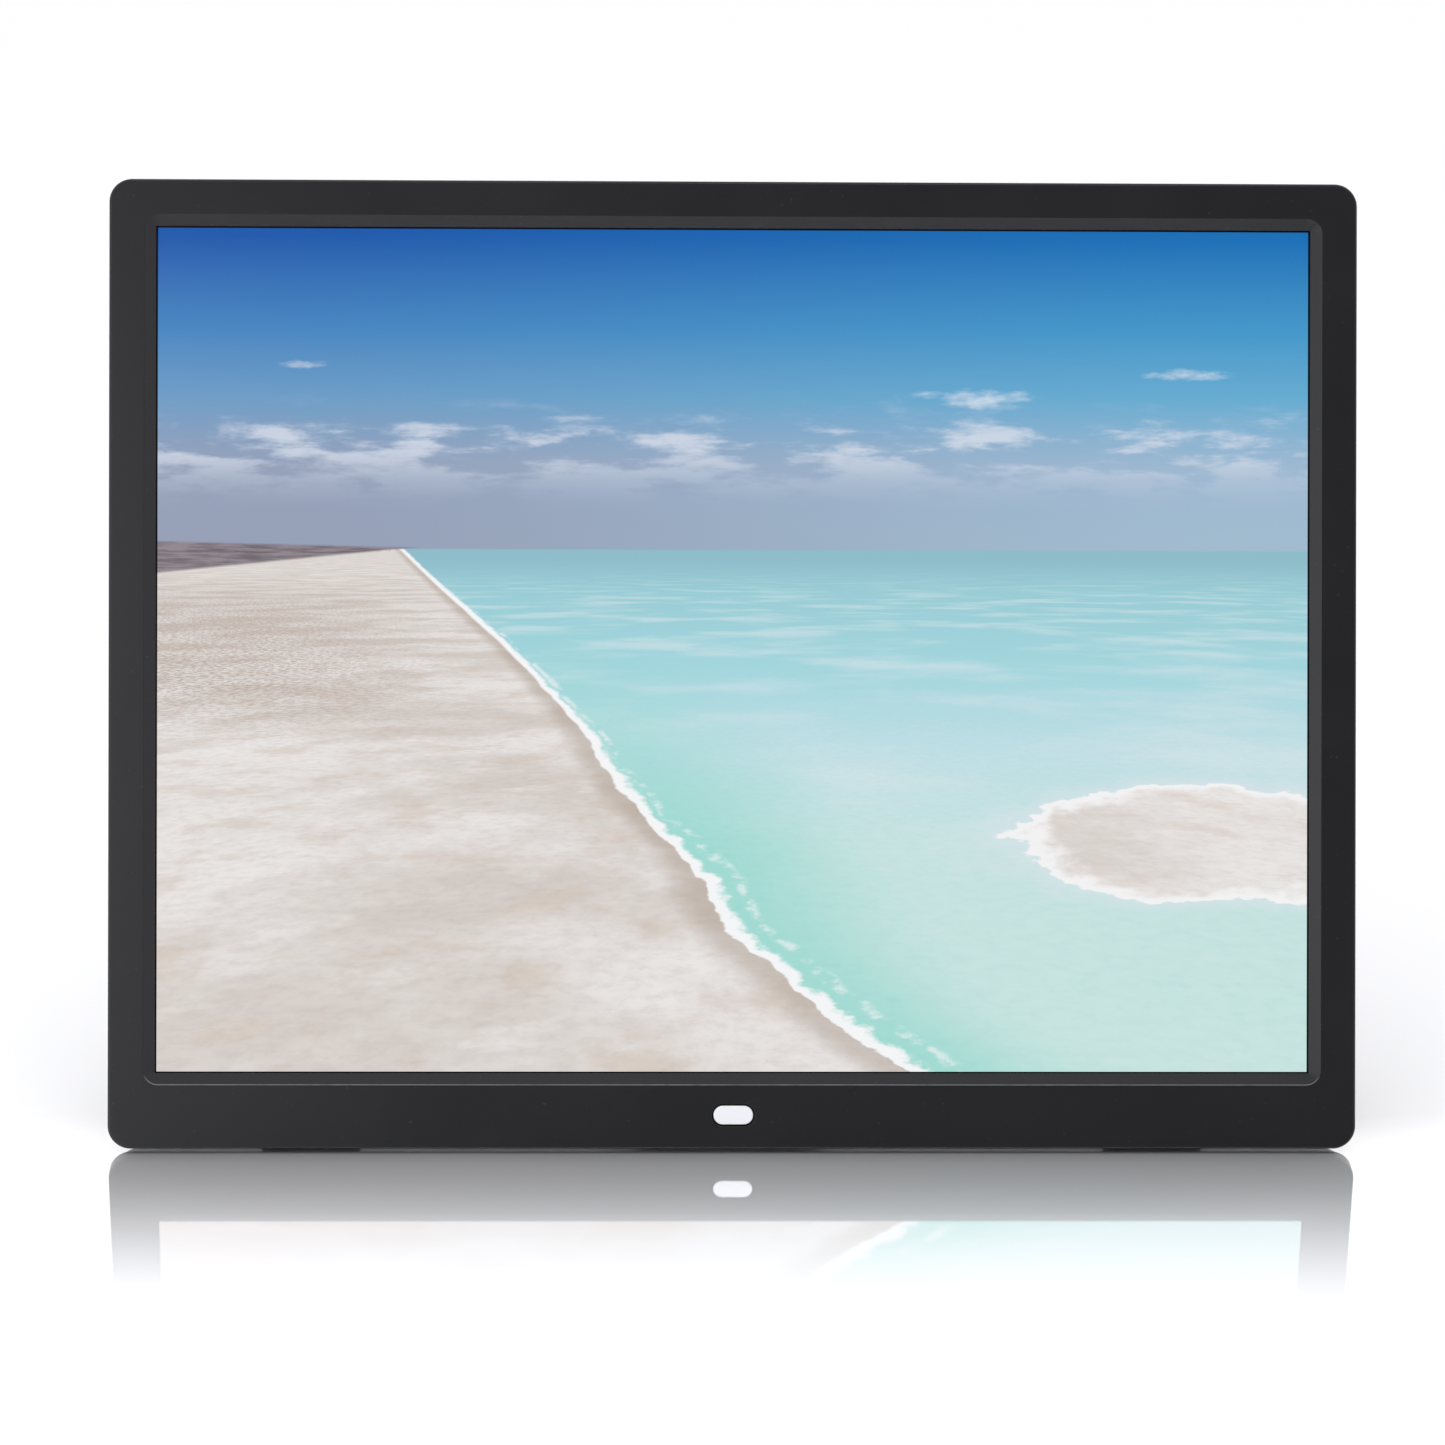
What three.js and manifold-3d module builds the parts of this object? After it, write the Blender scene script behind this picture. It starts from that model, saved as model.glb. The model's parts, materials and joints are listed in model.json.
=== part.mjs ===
// Digital photo frame: a 15-inch tabletop picture viewer that leans back on a fold-out leg.
// Millimetres, +Z up. The screen faces -Y, +X is the viewer's right, and the origin is the
// centre of the footprint on the table.
//
// Every housing piece is modelled upright first (X across, Y from the front face into the
// depth, Z up from the lower edge) inside one group, and that group is leaned back.

import * as THREE from 'three';
import { mergeVertices } from 'three/addons/utils/BufferGeometryUtils.js';
import Module from 'manifold-3d';

// ---------------------------------------------------------------- driving dimensions
const frameWidth = 330.4;
const frameHeight = 256;
const cornerRadius = 6;
const wall = 2;
const gap = 0.3;                  // between pieces that touch

// front bezel: flat border, sloping inner edge, straight lip
const sideBorder = 9.3;
const bottomBorder = 16.9;
const slopeWidth = 2.9;
const slopeDepth = 2.1;
const slopeCornerRadius = 4;
const faceThickness = 2.6;
const bezelDepth = 5;
const edgeChamfer = 0.5;

// rear cover: tapering rim and a raised box that holds the electronics
const rimBack = 11.5;
const rimFrontInset = 0.4;
const rimBackInset = 2.2;
const boxHalfWidth = 130;
const boxBottom = 14;
const boxTop = 222;
const boxBack = 26;
const boxCornerRadius = 16;
const boxChamfer = 2;

// lean and folding leg
const leanAngle = THREE.MathUtils.degToRad(12);
const legOpenAngle = THREE.MathUtils.degToRad(24);
const legPivotY = 22.4;
const legPivotZ = 172;
const legThickness = 4;
const legTopWidth = 66;
const legFootWidth = 54;
const legBarrelRadius = 2.9;
const legHeelLength = 5.7;
const legPadThickness = 2.2;
const pinRadius = 1.2;
const boreRadius = 1.5;
const pocketHalfWidth = 36;
const pocketFloor = 18.5;
const pocketTop = legPivotZ + 7;
const cheekWidth = 7;

// rubber feet under the rim
const baseFootDrop = 0.5;         // how far they stand below the bezel's lowest edge
const baseFootX = 112;
const baseFootLength = 26;
const baseFootFront = 6.4;
const baseFootBack = 10.8;

// screen module, measured from the front face
const moduleBorder = 3.4;         // hidden behind the bezel's lip on each side
const moduleFront = faceThickness + gap;
const moduleBack = 8.8;
const moduleSkirt = 0.5;

// indicator window under the screen
const windowWidth = 10.5;
const windowHeight = 5;
const windowZ = 8.9;
const windowClearance = 0.4;

// control keys on the back
const keyNames = ['exit', 'left', 'up', 'enter', 'down', 'right', 'menu'];
const keyPitch = 19;
const keyZ = 203;
const keyWidth = 12;
const keyHeight = 6.6;
const keyProud = 0.9;
const keyClearance = 0.4;

// wall-hanging slots
const hangX = 75;
const hangZ = 186;
const hangEntryRadius = 4.3;
const hangSlotWidth = 4.4;
const hangSlotRise = 9;

// circuit boards, on a steel carrier behind the screen module
const carrierFront = 9.2;
const carrierThickness = 0.8;
const standoffHeight = 3.2;
const boardThickness = 1.6;
const boardFront = carrierFront + carrierThickness + standoffHeight + gap;
const boardBack = boardFront + boardThickness;
const partsFront = boardBack + gap;
const mainBoard = { x0: 50, x1: 124, z0: 54, z1: 158 };
const driverBoard = { x0: -122, x1: -54, z0: 74, z1: 140 };
const boardHoleInset = 4;
const socketMouthX = boxHalfWidth - 0.4;

// screws
const coverScrewRows = [
  { z: 7.6, across: [-140, -50, 50, 140] },
  { z: 249.6, across: [-140, 140] },
];
const bossRadius = 2.1;
const coverPilotRadius = 1.15;
const coverHeadRadius = 1.9;
const coverShankRadius = 0.85;

// ---------------------------------------------------------------- materials
function plastic(color, roughness) {
  return new THREE.MeshStandardMaterial({ color, roughness, metalness: 0 });
}

function metal(color, roughness) {
  return new THREE.MeshStandardMaterial({ color, roughness, metalness: 1 });
}

const housingBlack = plastic(0x2a2a2c, 0.55);
const keyBlack = plastic(0x1d1d1f, 0.4);
const windowWhite = plastic(0xf1f1f1, 0.3);
const screenDark = plastic(0x14263a, 0.25);
const diffuserWhite = plastic(0xe9ecef, 0.5);
const boardGreen = plastic(0x1c5a35, 0.45);
const chipBlack = plastic(0x18181a, 0.5);
const rubberBlack = plastic(0x151515, 0.9);
const ribbonTan = plastic(0xb9a070, 0.45);
const sheetSteel = metal(0xb4b6b8, 0.35);
const screwSteel = metal(0x6c6d70, 0.3);
const canAluminium = metal(0xc8cacc, 0.3);

// ---------------------------------------------------------------- shape helpers
const wasm = await Module();
wasm.setup();

function toSolid(geometry) {
  const bare = geometry.clone();
  bare.deleteAttribute('normal');
  bare.deleteAttribute('uv');
  const merged = mergeVertices(bare, 1e-4);
  return new wasm.Manifold(new wasm.Mesh({
    numProp: 3,
    vertProperties: new Float32Array(merged.getAttribute('position').array),
    triVerts: new Uint32Array(merged.getIndex().array),
  }));
}

function toGeometry(solid) {
  const mesh = solid.getMesh();
  const geometry = new THREE.BufferGeometry();
  geometry.setAttribute('position', new THREE.BufferAttribute(mesh.vertProperties, 3));
  geometry.setIndex(new THREE.BufferAttribute(mesh.triVerts, 1));
  geometry.computeVertexNormals();
  return geometry;
}

function shape(base, added, removed = []) {
  let solid = toSolid(base);
  for (const piece of added) solid = solid.add(toSolid(piece));
  for (const piece of removed) solid = solid.subtract(toSolid(piece));
  return toGeometry(solid);
}

// Counter-clockwise rounded rectangle between two corners, in the X-Z plane.
function roundedOutline(x0, x1, z0, z1, radius, steps = 4) {
  const centres = [
    [x1 - radius, z1 - radius],
    [x0 + radius, z1 - radius],
    [x0 + radius, z0 + radius],
    [x1 - radius, z0 + radius],
  ];
  const points = [];
  centres.forEach(([x, z], quarter) => {
    for (let step = 0; step <= steps; step += 1) {
      const angle = (quarter + step / steps) * Math.PI / 2;
      points.push(new THREE.Vector2(x + radius * Math.cos(angle), z + radius * Math.sin(angle)));
    }
  });
  return points;
}

function centredOutline(x, z, width, height, radius, steps = 4) {
  return roundedOutline(x - width / 2, x + width / 2, z - height / 2, z + height / 2, radius, steps);
}

// Outline extruded along Y from y0 to y1, with the same chamfer at both ends.
function slab(outline, y0, y1, chamfer = 0) {
  return new THREE.ExtrudeGeometry(new THREE.Shape(outline), {
    depth: y1 - y0 - 2 * chamfer,
    bevelEnabled: chamfer > 0,
    bevelThickness: chamfer,
    bevelSize: chamfer,
    bevelOffset: -chamfer,
    bevelSegments: 1,
  }).rotateX(Math.PI / 2).translate(0, y1 - chamfer, 0);
}

// Straight-sided solid between two outlines with the same number of points.
function loft(frontOutline, y0, backOutline, y1) {
  const count = frontOutline.length;
  const positions = [];
  for (const point of backOutline) positions.push(point.x, y1, point.y);
  for (const point of frontOutline) positions.push(point.x, y0, point.y);
  const index = [];
  for (let here = 0; here < count; here += 1) {
    const next = (here + 1) % count;
    index.push(here, next, count + next, here, count + next, count + here);
  }
  for (const [a, b, c] of THREE.ShapeUtils.triangulateShape(backOutline, [])) {
    index.push(a, c, b);
  }
  for (const [a, b, c] of THREE.ShapeUtils.triangulateShape(frontOutline, [])) {
    index.push(count + a, count + b, count + c);
  }
  const geometry = new THREE.BufferGeometry();
  geometry.setAttribute('position', new THREE.Float32BufferAttribute(positions, 3));
  geometry.setIndex(index);
  return geometry;
}

function block(x0, x1, y0, y1, z0, z1) {
  return new THREE.BoxGeometry(x1 - x0, y1 - y0, z1 - z0)
    .translate((x0 + x1) / 2, (y0 + y1) / 2, (z0 + z1) / 2);
}

// Round bar along Y (pegs and screws) or along X (pins and barrels).
function barY(radius, x, z, y0, y1, sides = 16) {
  return new THREE.CylinderGeometry(radius, radius, y1 - y0, sides)
    .translate(x, (y0 + y1) / 2, z);
}

function barX(radius, y, z, x0, x1, sides = 20) {
  return new THREE.CylinderGeometry(radius, radius, x1 - x0, sides)
    .rotateZ(Math.PI / 2)
    .translate((x0 + x1) / 2, y, z);
}

// Outline in the Y-Z plane extruded along X.
function barProfile(points, x0, x1) {
  const turn = new THREE.Matrix4().makeBasis(
    new THREE.Vector3(0, 1, 0),
    new THREE.Vector3(0, 0, 1),
    new THREE.Vector3(1, 0, 0),
  );
  const section = new THREE.Shape(points.map(([y, z]) => new THREE.Vector2(y, z)));
  return new THREE.ExtrudeGeometry(section, { depth: x1 - x0, bevelEnabled: false })
    .applyMatrix4(turn)
    .translate(x0, 0, 0);
}

// ---------------------------------------------------------------- scene graph
const housing = new THREE.Group();
housing.rotation.x = -leanAngle;

const leg = new THREE.Group();
leg.position.set(0, legPivotY, legPivotZ);
leg.rotation.x = legOpenAngle;
housing.add(leg);

function add(name, geometry, material, parent = housing) {
  const mesh = new THREE.Mesh(geometry, material);
  mesh.name = name;
  parent.add(mesh);
}

// ---------------------------------------------------------------- housing outlines
function housingOutline(inset, radius) {
  const half = frameWidth / 2 - inset;
  return roundedOutline(-half, half, inset, frameHeight - inset, radius);
}

function openingOutline(spread, radius) {
  const inset = sideBorder + slopeWidth - spread;
  const half = frameWidth / 2 - inset;
  const lower = bottomBorder + slopeWidth - spread;
  return roundedOutline(-half, half, lower, frameHeight - inset, radius);
}

function boxOutline(inset) {
  const half = boxHalfWidth - inset;
  return roundedOutline(-half, half, boxBottom + inset, boxTop - inset, boxCornerRadius - inset);
}

function coverScrewPlaces() {
  return coverScrewRows.flatMap(({ z, across }) => across.map((x) => [x, z]));
}

// ---------------------------------------------------------------- front bezel
function buildFrontBezel() {
  const bossBack = rimBack - wall - gap;
  const spill = 0.4;
  const spillSpread = slopeWidth * (1 + spill / slopeDepth);
  const bosses = coverScrewPlaces()
    .map(([x, z]) => barY(bossRadius, x, z, faceThickness - gap, bossBack));
  const pilots = coverScrewPlaces()
    .map(([x, z]) => barY(coverPilotRadius, x, z, faceThickness, bossBack + 1, 12));
  const shell = shape(
    slab(housingOutline(0, cornerRadius), 0, bezelDepth, edgeChamfer),
    [],
    [slab(housingOutline(wall, cornerRadius - wall), faceThickness, bezelDepth + 1)],
  );
  return shape(shell, bosses, [
    ...pilots,
    loft(openingOutline(spillSpread, slopeCornerRadius), -spill,
      openingOutline(0, 0.3), slopeDepth),
    slab(openingOutline(0, 0.3), slopeDepth - 0.1, faceThickness + 1),
    slab(centredOutline(0, windowZ, windowWidth + 2 * windowClearance,
      windowHeight + 2 * windowClearance, windowHeight / 2 + windowClearance - 0.01, 5),
    -1, faceThickness + 1),
  ]);
}

// ---------------------------------------------------------------- rear cover
function pocketSolids() {
  const outer = pocketHalfWidth + wall;
  const cheekBottom = legPivotZ - 7;
  return [
    block(-outer, outer, pocketFloor - wall, boxBack - 1, boxBottom + 1, pocketTop + wall),
    block(-pocketHalfWidth - cheekWidth, -pocketHalfWidth + 1,
      pocketFloor - wall, boxBack - 1, cheekBottom, pocketTop),
    block(pocketHalfWidth - 1, pocketHalfWidth + cheekWidth,
      pocketFloor - wall, boxBack - 1, cheekBottom, pocketTop),
  ];
}

function pocketCuts() {
  const boreEnd = pocketHalfWidth + cheekWidth - 1.4;
  return [
    block(-pocketHalfWidth, pocketHalfWidth, pocketFloor, boxBack + 1, boxBottom - 3, pocketTop),
    barX(boreRadius, legPivotY, legPivotZ, -boreEnd, boreEnd, 16),
  ];
}

function hangingSlots() {
  const cuts = [];
  for (const x of [-hangX, hangX]) {
    cuts.push(barY(hangEntryRadius, x, hangZ, boxBack - wall - 1, boxBack + 1, 20));
    cuts.push(slab(centredOutline(x, hangZ + hangSlotRise / 2, hangSlotWidth,
      hangSlotRise + hangSlotWidth, hangSlotWidth / 2 - 0.01, 4), boxBack - wall - 1, boxBack + 1));
  }
  return cuts;
}

function slotRow(x0, x1, z, pitch, count, height) {
  const cuts = [];
  for (let row = 0; row < count; row += 1) {
    const z0 = z + row * pitch;
    cuts.push(block(x0, x1, boxBack - wall - 1, boxBack + 1, z0, z0 + height));
  }
  return cuts;
}

function socketCuts() {
  const x0 = boxHalfWidth - wall - 1;
  const x1 = boxHalfWidth + 1;
  return sockets.map(({ y0, y1, z0, z1 }) => (
    block(x0, x1, y0 - gap, y1 + gap, z0 - gap, z1 + gap)));
}

function keyX(order) {
  return (order - (keyNames.length - 1) / 2) * keyPitch;
}

function keyCuts() {
  return keyNames.map((name, order) => slab(
    centredOutline(keyX(order), keyZ, keyWidth + 2 * keyClearance,
      keyHeight + 2 * keyClearance, 2, 3),
    boxBack - wall - 1, boxBack + 1));
}

function coverScrewCuts() {
  const cuts = [];
  for (const [x, z] of coverScrewPlaces()) {
    cuts.push(barY(coverHeadRadius + gap, x, z, rimBack - 1.2, rimBack + 1));
    cuts.push(barY(coverShankRadius + gap, x, z, rimBack - wall - 1, rimBack, 12));
  }
  return cuts;
}

function buildRearCover() {
  const rim = loft(housingOutline(rimFrontInset, cornerRadius), bezelDepth + gap,
    housingOutline(rimBackInset, cornerRadius), rimBack);
  const rimHollow = loft(housingOutline(rimFrontInset + wall, cornerRadius - wall), bezelDepth,
    housingOutline(rimBackInset + wall, cornerRadius - wall), rimBack - wall);
  const shell = shape(rim, [slab(boxOutline(0), rimBack - 3, boxBack, boxChamfer)], [
    rimHollow,
    slab(boxOutline(wall), rimBack - wall - 3, boxBack - wall),
  ]);
  return shape(shell, pocketSolids(), [
    ...pocketCuts(),
    ...hangingSlots(),
    ...slotRow(-114, -78, 28, 4.5, 5, 2),
    ...slotRow(78, 114, 28, 4.5, 5, 2),
    ...slotRow(-118, -96, 168, 4.5, 5, 2),
    ...slotRow(96, 118, 168, 4.5, 5, 2),
    ...socketCuts(),
    ...keyCuts(),
    ...coverScrewCuts(),
    block(-boxHalfWidth - 1, -boxHalfWidth + wall + 1, switchSlot.y0, switchSlot.y1,
      switchSlot.z0, switchSlot.z1),
  ]);
}

// ---------------------------------------------------------------- indicator window
function buildIndicator() {
  const flangeBack = faceThickness + gap + 1;
  add('ir_window', shape(
    slab(centredOutline(0, windowZ, windowWidth, windowHeight, windowHeight / 2 - 0.01, 5),
      0, flangeBack),
    [slab(centredOutline(0, windowZ, 15, 8, 2), faceThickness + gap, flangeBack)],
  ), windowWhite);
  const boardY = 7;
  add('ir_board', shape(
    block(-16, 16, boardY, boardY + 1.2, 4.6, 13.2),
    [],
    [barY(1.1, 12.5, windowZ, boardY - 1, boardY + 3, 12)],
  ), boardGreen);
  const receiverFront = flangeBack + gap;
  add('ir_receiver', shape(
    block(-3, 3, receiverFront + 0.8, boardY - gap, windowZ - 3, windowZ + 3),
    [barY(2, 0, windowZ, receiverFront, boardY - 1)],
  ), chipBlack);
  add('status_led', barY(1.2, -5.2, windowZ, receiverFront + 0.4, boardY - gap, 12), windowWhite);
}

// ---------------------------------------------------------------- screen module
function moduleBox(inset, y0, y1) {
  const border = sideBorder + slopeWidth - moduleBorder + inset;
  const half = frameWidth / 2 - border;
  const lower = bottomBorder + slopeWidth - moduleBorder + inset;
  return block(-half, half, y0, y1, lower, frameHeight - border);
}

function buildScreenModule() {
  const inside = moduleSkirt + gap;
  const windowInset = moduleBorder - 1;
  add('panel_front_frame', shape(
    moduleBox(0, moduleFront, moduleBack - 0.4),
    [],
    [moduleBox(moduleSkirt, moduleFront + moduleSkirt, moduleBack + 1),
      moduleBox(windowInset, moduleFront - 1, moduleBack + 1)],
  ), sheetSteel);
  const cellFront = moduleFront + moduleSkirt + gap;
  const cellBack = cellFront + 1.1;
  add('lcd_cell', moduleBox(inside, cellFront, cellBack), screenDark);
  const sheetsBack = cellBack + gap + 0.5;
  add('optical_sheets', moduleBox(inside, cellBack + gap, sheetsBack), diffuserWhite);
  const guideFront = sheetsBack + gap;
  const guideBack = guideFront + 1.2;
  const barHeight = 3;
  const lower = bottomBorder + slopeWidth - moduleBorder + inside;
  const upper = frameHeight - (sideBorder + slopeWidth - moduleBorder + inside);
  const half = frameWidth / 2 - (sideBorder + slopeWidth - moduleBorder + inside);
  add('light_guide', block(-half, half, guideFront, guideBack, lower + barHeight + gap, upper),
    diffuserWhite);
  add('led_bar', block(-half + 4, half - 4, guideFront, guideBack, lower, lower + barHeight),
    diffuserWhite);
  add('panel_back_tray', moduleBox(inside, guideBack + gap, guideBack + gap + 0.5), sheetSteel);
}

// ---------------------------------------------------------------- carrier and boards
function boardHoles(board) {
  return [
    [board.x0 + boardHoleInset, board.z0 + boardHoleInset],
    [board.x1 - boardHoleInset, board.z0 + boardHoleInset],
    [board.x0 + boardHoleInset, board.z1 - boardHoleInset],
    [board.x1 - boardHoleInset, board.z1 - boardHoleInset],
  ];
}

function diagonalHoles(board) {
  const holes = boardHoles(board);
  return [holes[0], holes[3]];
}

const boardScrewPlaces = [...boardHoles(mainBoard), ...diagonalHoles(driverBoard)];

function buildCarrier() {
  const back = carrierFront + carrierThickness;
  const standoffs = boardScrewPlaces
    .map(([x, z]) => barY(2.6, x, z, back - 0.2, back + standoffHeight, 12));
  const threads = boardScrewPlaces
    .map(([x, z]) => barY(1.3, x, z, carrierFront - 1, back + standoffHeight + 1, 10));
  const windows = [
    slab(centredOutline(0, 100, 60, 90, 8), carrierFront - 1, back + 1),
    slab(centredOutline(-88, 44, 40, 16, 6), carrierFront - 1, back + 1),
    slab(centredOutline(88, 44, 40, 16, 6), carrierFront - 1, back + 1),
  ];
  add('board_carrier', shape(
    slab(roundedOutline(-125.5, 125.5, 24, 168, 6), carrierFront, back),
    standoffs,
    [...threads, ...windows],
  ), sheetSteel);
}

function buildCircuitBoard(name, board, holes) {
  add(name, shape(
    block(board.x0, board.x1, boardFront, boardBack, board.z0, board.z1),
    [],
    holes.map(([x, z]) => barY(1.5, x, z, boardFront - 1, boardBack + 1, 12)),
  ), boardGreen);
}

function screw(x, z, seat, headRadius, headHeight, shankRadius, shankLength) {
  const driveDepth = headHeight * 0.6;
  return shape(
    barY(headRadius, x, z, seat, seat + headHeight, 16),
    [barY(shankRadius, x, z, seat - shankLength, seat + headHeight / 2, 10)],
    [block(x - headRadius * 0.6, x + headRadius * 0.6, seat + headHeight - driveDepth,
      seat + headHeight + 1, z - 0.25, z + 0.25),
    block(x - 0.25, x + 0.25, seat + headHeight - driveDepth,
      seat + headHeight + 1, z - headRadius * 0.6, z + headRadius * 0.6)],
  );
}

function chip(name, x, z, width, height, thickness) {
  add(name, block(x - width / 2, x + width / 2, partsFront, partsFront + thickness,
    z - height / 2, z + height / 2), chipBlack);
}

function buildBoards() {
  buildCarrier();
  buildCircuitBoard('main_board', mainBoard, boardHoles(mainBoard));
  buildCircuitBoard('backlight_driver_board', driverBoard, diagonalHoles(driverBoard));
  boardScrewPlaces.forEach(([x, z], order) => {
    add(`board_screw_${order + 1}`, screw(x, z, partsFront, 2.4, 1.4, 1, 4), screwSteel);
  });
  chip('processor', 84, 104, 18, 18, 1.4);
  chip('memory_chip', 84, 130, 20, 10, 1.2);
  chip('flash_chip', 64, 84, 12, 18, 1.2);
  add('power_inductor', shape(
    slab(centredOutline(60, 140, 10, 10, 2), partsFront, partsFront + 4), []), chipBlack);
  add('driver_transformer', block(-100, -84, partsFront, partsFront + 5.5, 98, 116), chipBlack);
  add('capacitor_1', barY(3.2, 104, 84, partsFront, partsFront + 6.4), canAluminium);
  add('capacitor_2', barY(3.2, -70, 96, partsFront, partsFront + 6.4), canAluminium);
}

function buildTimingBoard() {
  const y0 = carrierFront;
  add('timing_board', block(-90, 90, y0, y0 + 1.2, 184, 206), boardGreen);
  const top = y0 + 1.2 + gap;
  const low = boardBack + gap;
  const thickness = 0.4;
  add('panel_cable', barProfile([
    [top, 190], [top, 176], [low, 166], [low, 150],
    [low + thickness, 150], [low + thickness, 166.3], [top + thickness, 176.3],
    [top + thickness, 190],
  ], 66, 90), ribbonTan);
}

// ---------------------------------------------------------------- sockets
const sockets = [
  { kind: 'dc', name: 'dc_jack', y0: 15.4, y1: 22.2, z0: 66, z1: 75 },
  { kind: 'round', name: 'earphone_jack', y0: 15.4, y1: 21.4, z0: 80, z1: 87 },
  { kind: 'usb', name: 'usb_socket', y0: 15.4, y1: 22, z0: 92, z1: 106.2 },
  { kind: 'mini', name: 'mini_usb_socket', y0: 15.4, y1: 19.4, z0: 111, z1: 118.8 },
  { kind: 'card', name: 'card_socket', y0: 15.4, y1: 18.8, z0: 123, z1: 150 },
];

function buildSocket({ kind, name, y0, y1, z0, z1 }) {
  const depths = { dc: 13, round: 12, usb: 14, mini: 9, card: 20 };
  const x1 = socketMouthX;
  const x0 = x1 - depths[kind];
  const y = (y0 + y1) / 2;
  const z = (z0 + z1) / 2;
  const body = block(x0, x1, y0, y1, z0, z1);
  const skin = 0.6;
  const material = kind === 'usb' || kind === 'mini' || kind === 'card' ? sheetSteel : chipBlack;
  if (kind === 'round') {
    add(name, shape(body, [], [barX(1.8, y, z, x0 + 2, x1 + 1, 16)]), material);
  } else if (kind === 'dc') {
    const bore = toGeometry(toSolid(barX(2.8, y, z, x0 + 3, x1 + 1, 16))
      .subtract(toSolid(barX(0.8, y, z, x0 + 2, x1 - 1, 10))));
    add(name, shape(body, [], [bore]), material);
  } else {
    const mouth = block(x0 + 2, x1 + 1, y0 + skin, y1 - skin, z0 + skin, z1 - skin);
    const tongueThickness = kind === 'usb' ? 1.8 : 0.8;
    const tongueY = y0 + skin + (kind === 'usb' ? 0.6 : 0.5);
    const tongue = block(x0 + 1, x1 - 1.5, tongueY, tongueY + tongueThickness,
      z0 + 1.6, z1 - 1.6);
    const hollow = toGeometry(toSolid(mouth).subtract(toSolid(tongue)));
    add(name, shape(body, [], [kind === 'card' ? mouth : hollow]), material);
  }
}

// ---------------------------------------------------------------- power switch
const switchSlot = { y0: 16.4, y1: 19.6, z0: 98, z1: 107 };

function buildPowerSwitch() {
  const innerX = -boxHalfWidth + wall + gap;
  const y = (switchSlot.y0 + switchSlot.y1) / 2;
  add('power_switch_body', shape(
    block(innerX, innerX + 5, boardBack - 1.6, boardBack + 5.4, switchSlot.z0 - 3, switchSlot.z1 + 3),
    [],
    [block(innerX - 1, innerX + 2, y - 1.5, y + 1.5, switchSlot.z0, switchSlot.z1)],
  ), sheetSteel);
  const knobTop = switchSlot.z1 - 0.4;
  add('power_switch_knob', slab(
    roundedOutline(-boxHalfWidth - 1.6, innerX + 1.6, knobTop - 5, knobTop, 0.5, 2),
    y - 1.2, y + 1.2), keyBlack);
}

// ---------------------------------------------------------------- speakers
function buildSpeakers() {
  const front = boxBack - wall - gap;
  for (const [name, x] of [['speaker_left', -96], ['speaker_right', 96]]) {
    add(name, shape(
      slab(centredOutline(x, 38, 42, 24, 8), front - 2.4, front, 0.4),
      [barY(9, x, 38, front - 6.6, front - 2, 20)],
      [barY(8, x, 38, front - 1.2, front + 1, 20)],
    ), chipBlack);
  }
}

// ---------------------------------------------------------------- keys
function buildKeys() {
  const wallInner = boxBack - wall;
  const boardY = 17;
  const stemEnd = 20.6;
  const strips = keyNames.map((name, order) => block(
    keyX(order) - 2.4, keyX(order) + 2.4, boardY + 1, boardY + 2.4, keyZ - 2.4, keyZ + 2.4));
  add('key_board', shape(
    block(-68, 68, boardY, boardY + 1.2, keyZ - 8, keyZ + 8), strips), boardGreen);
  keyNames.forEach((name, order) => {
    const x = keyX(order);
    add(`key_${name}`, shape(
      slab(centredOutline(x, keyZ, keyWidth, keyHeight, 1.6, 3), wallInner - 1, boxBack + keyProud, 0.3),
      [slab(centredOutline(x, keyZ, keyWidth + 2.6, keyHeight + 2.6, 1.6, 2),
        wallInner - 1.6, wallInner - 0.6),
      block(x - 1.5, x + 1.5, stemEnd, wallInner - 1, keyZ - 1.5, keyZ + 1.5)],
    ), keyBlack);
  });
}

// ---------------------------------------------------------------- folding leg
// Modelled folded flat, hanging down from its pivot, then opened by the leg group's turn.
const footTurn = legOpenAngle - leanAngle;
const bezelLowest = -bezelDepth * Math.sin(leanAngle);
const tableLevel = bezelLowest - baseFootDrop;
const pivotHeight = legPivotZ * Math.cos(leanAngle) - legPivotY * Math.sin(leanAngle) - tableLevel;
const legReach = pivotHeight / Math.cos(footTurn);

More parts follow.
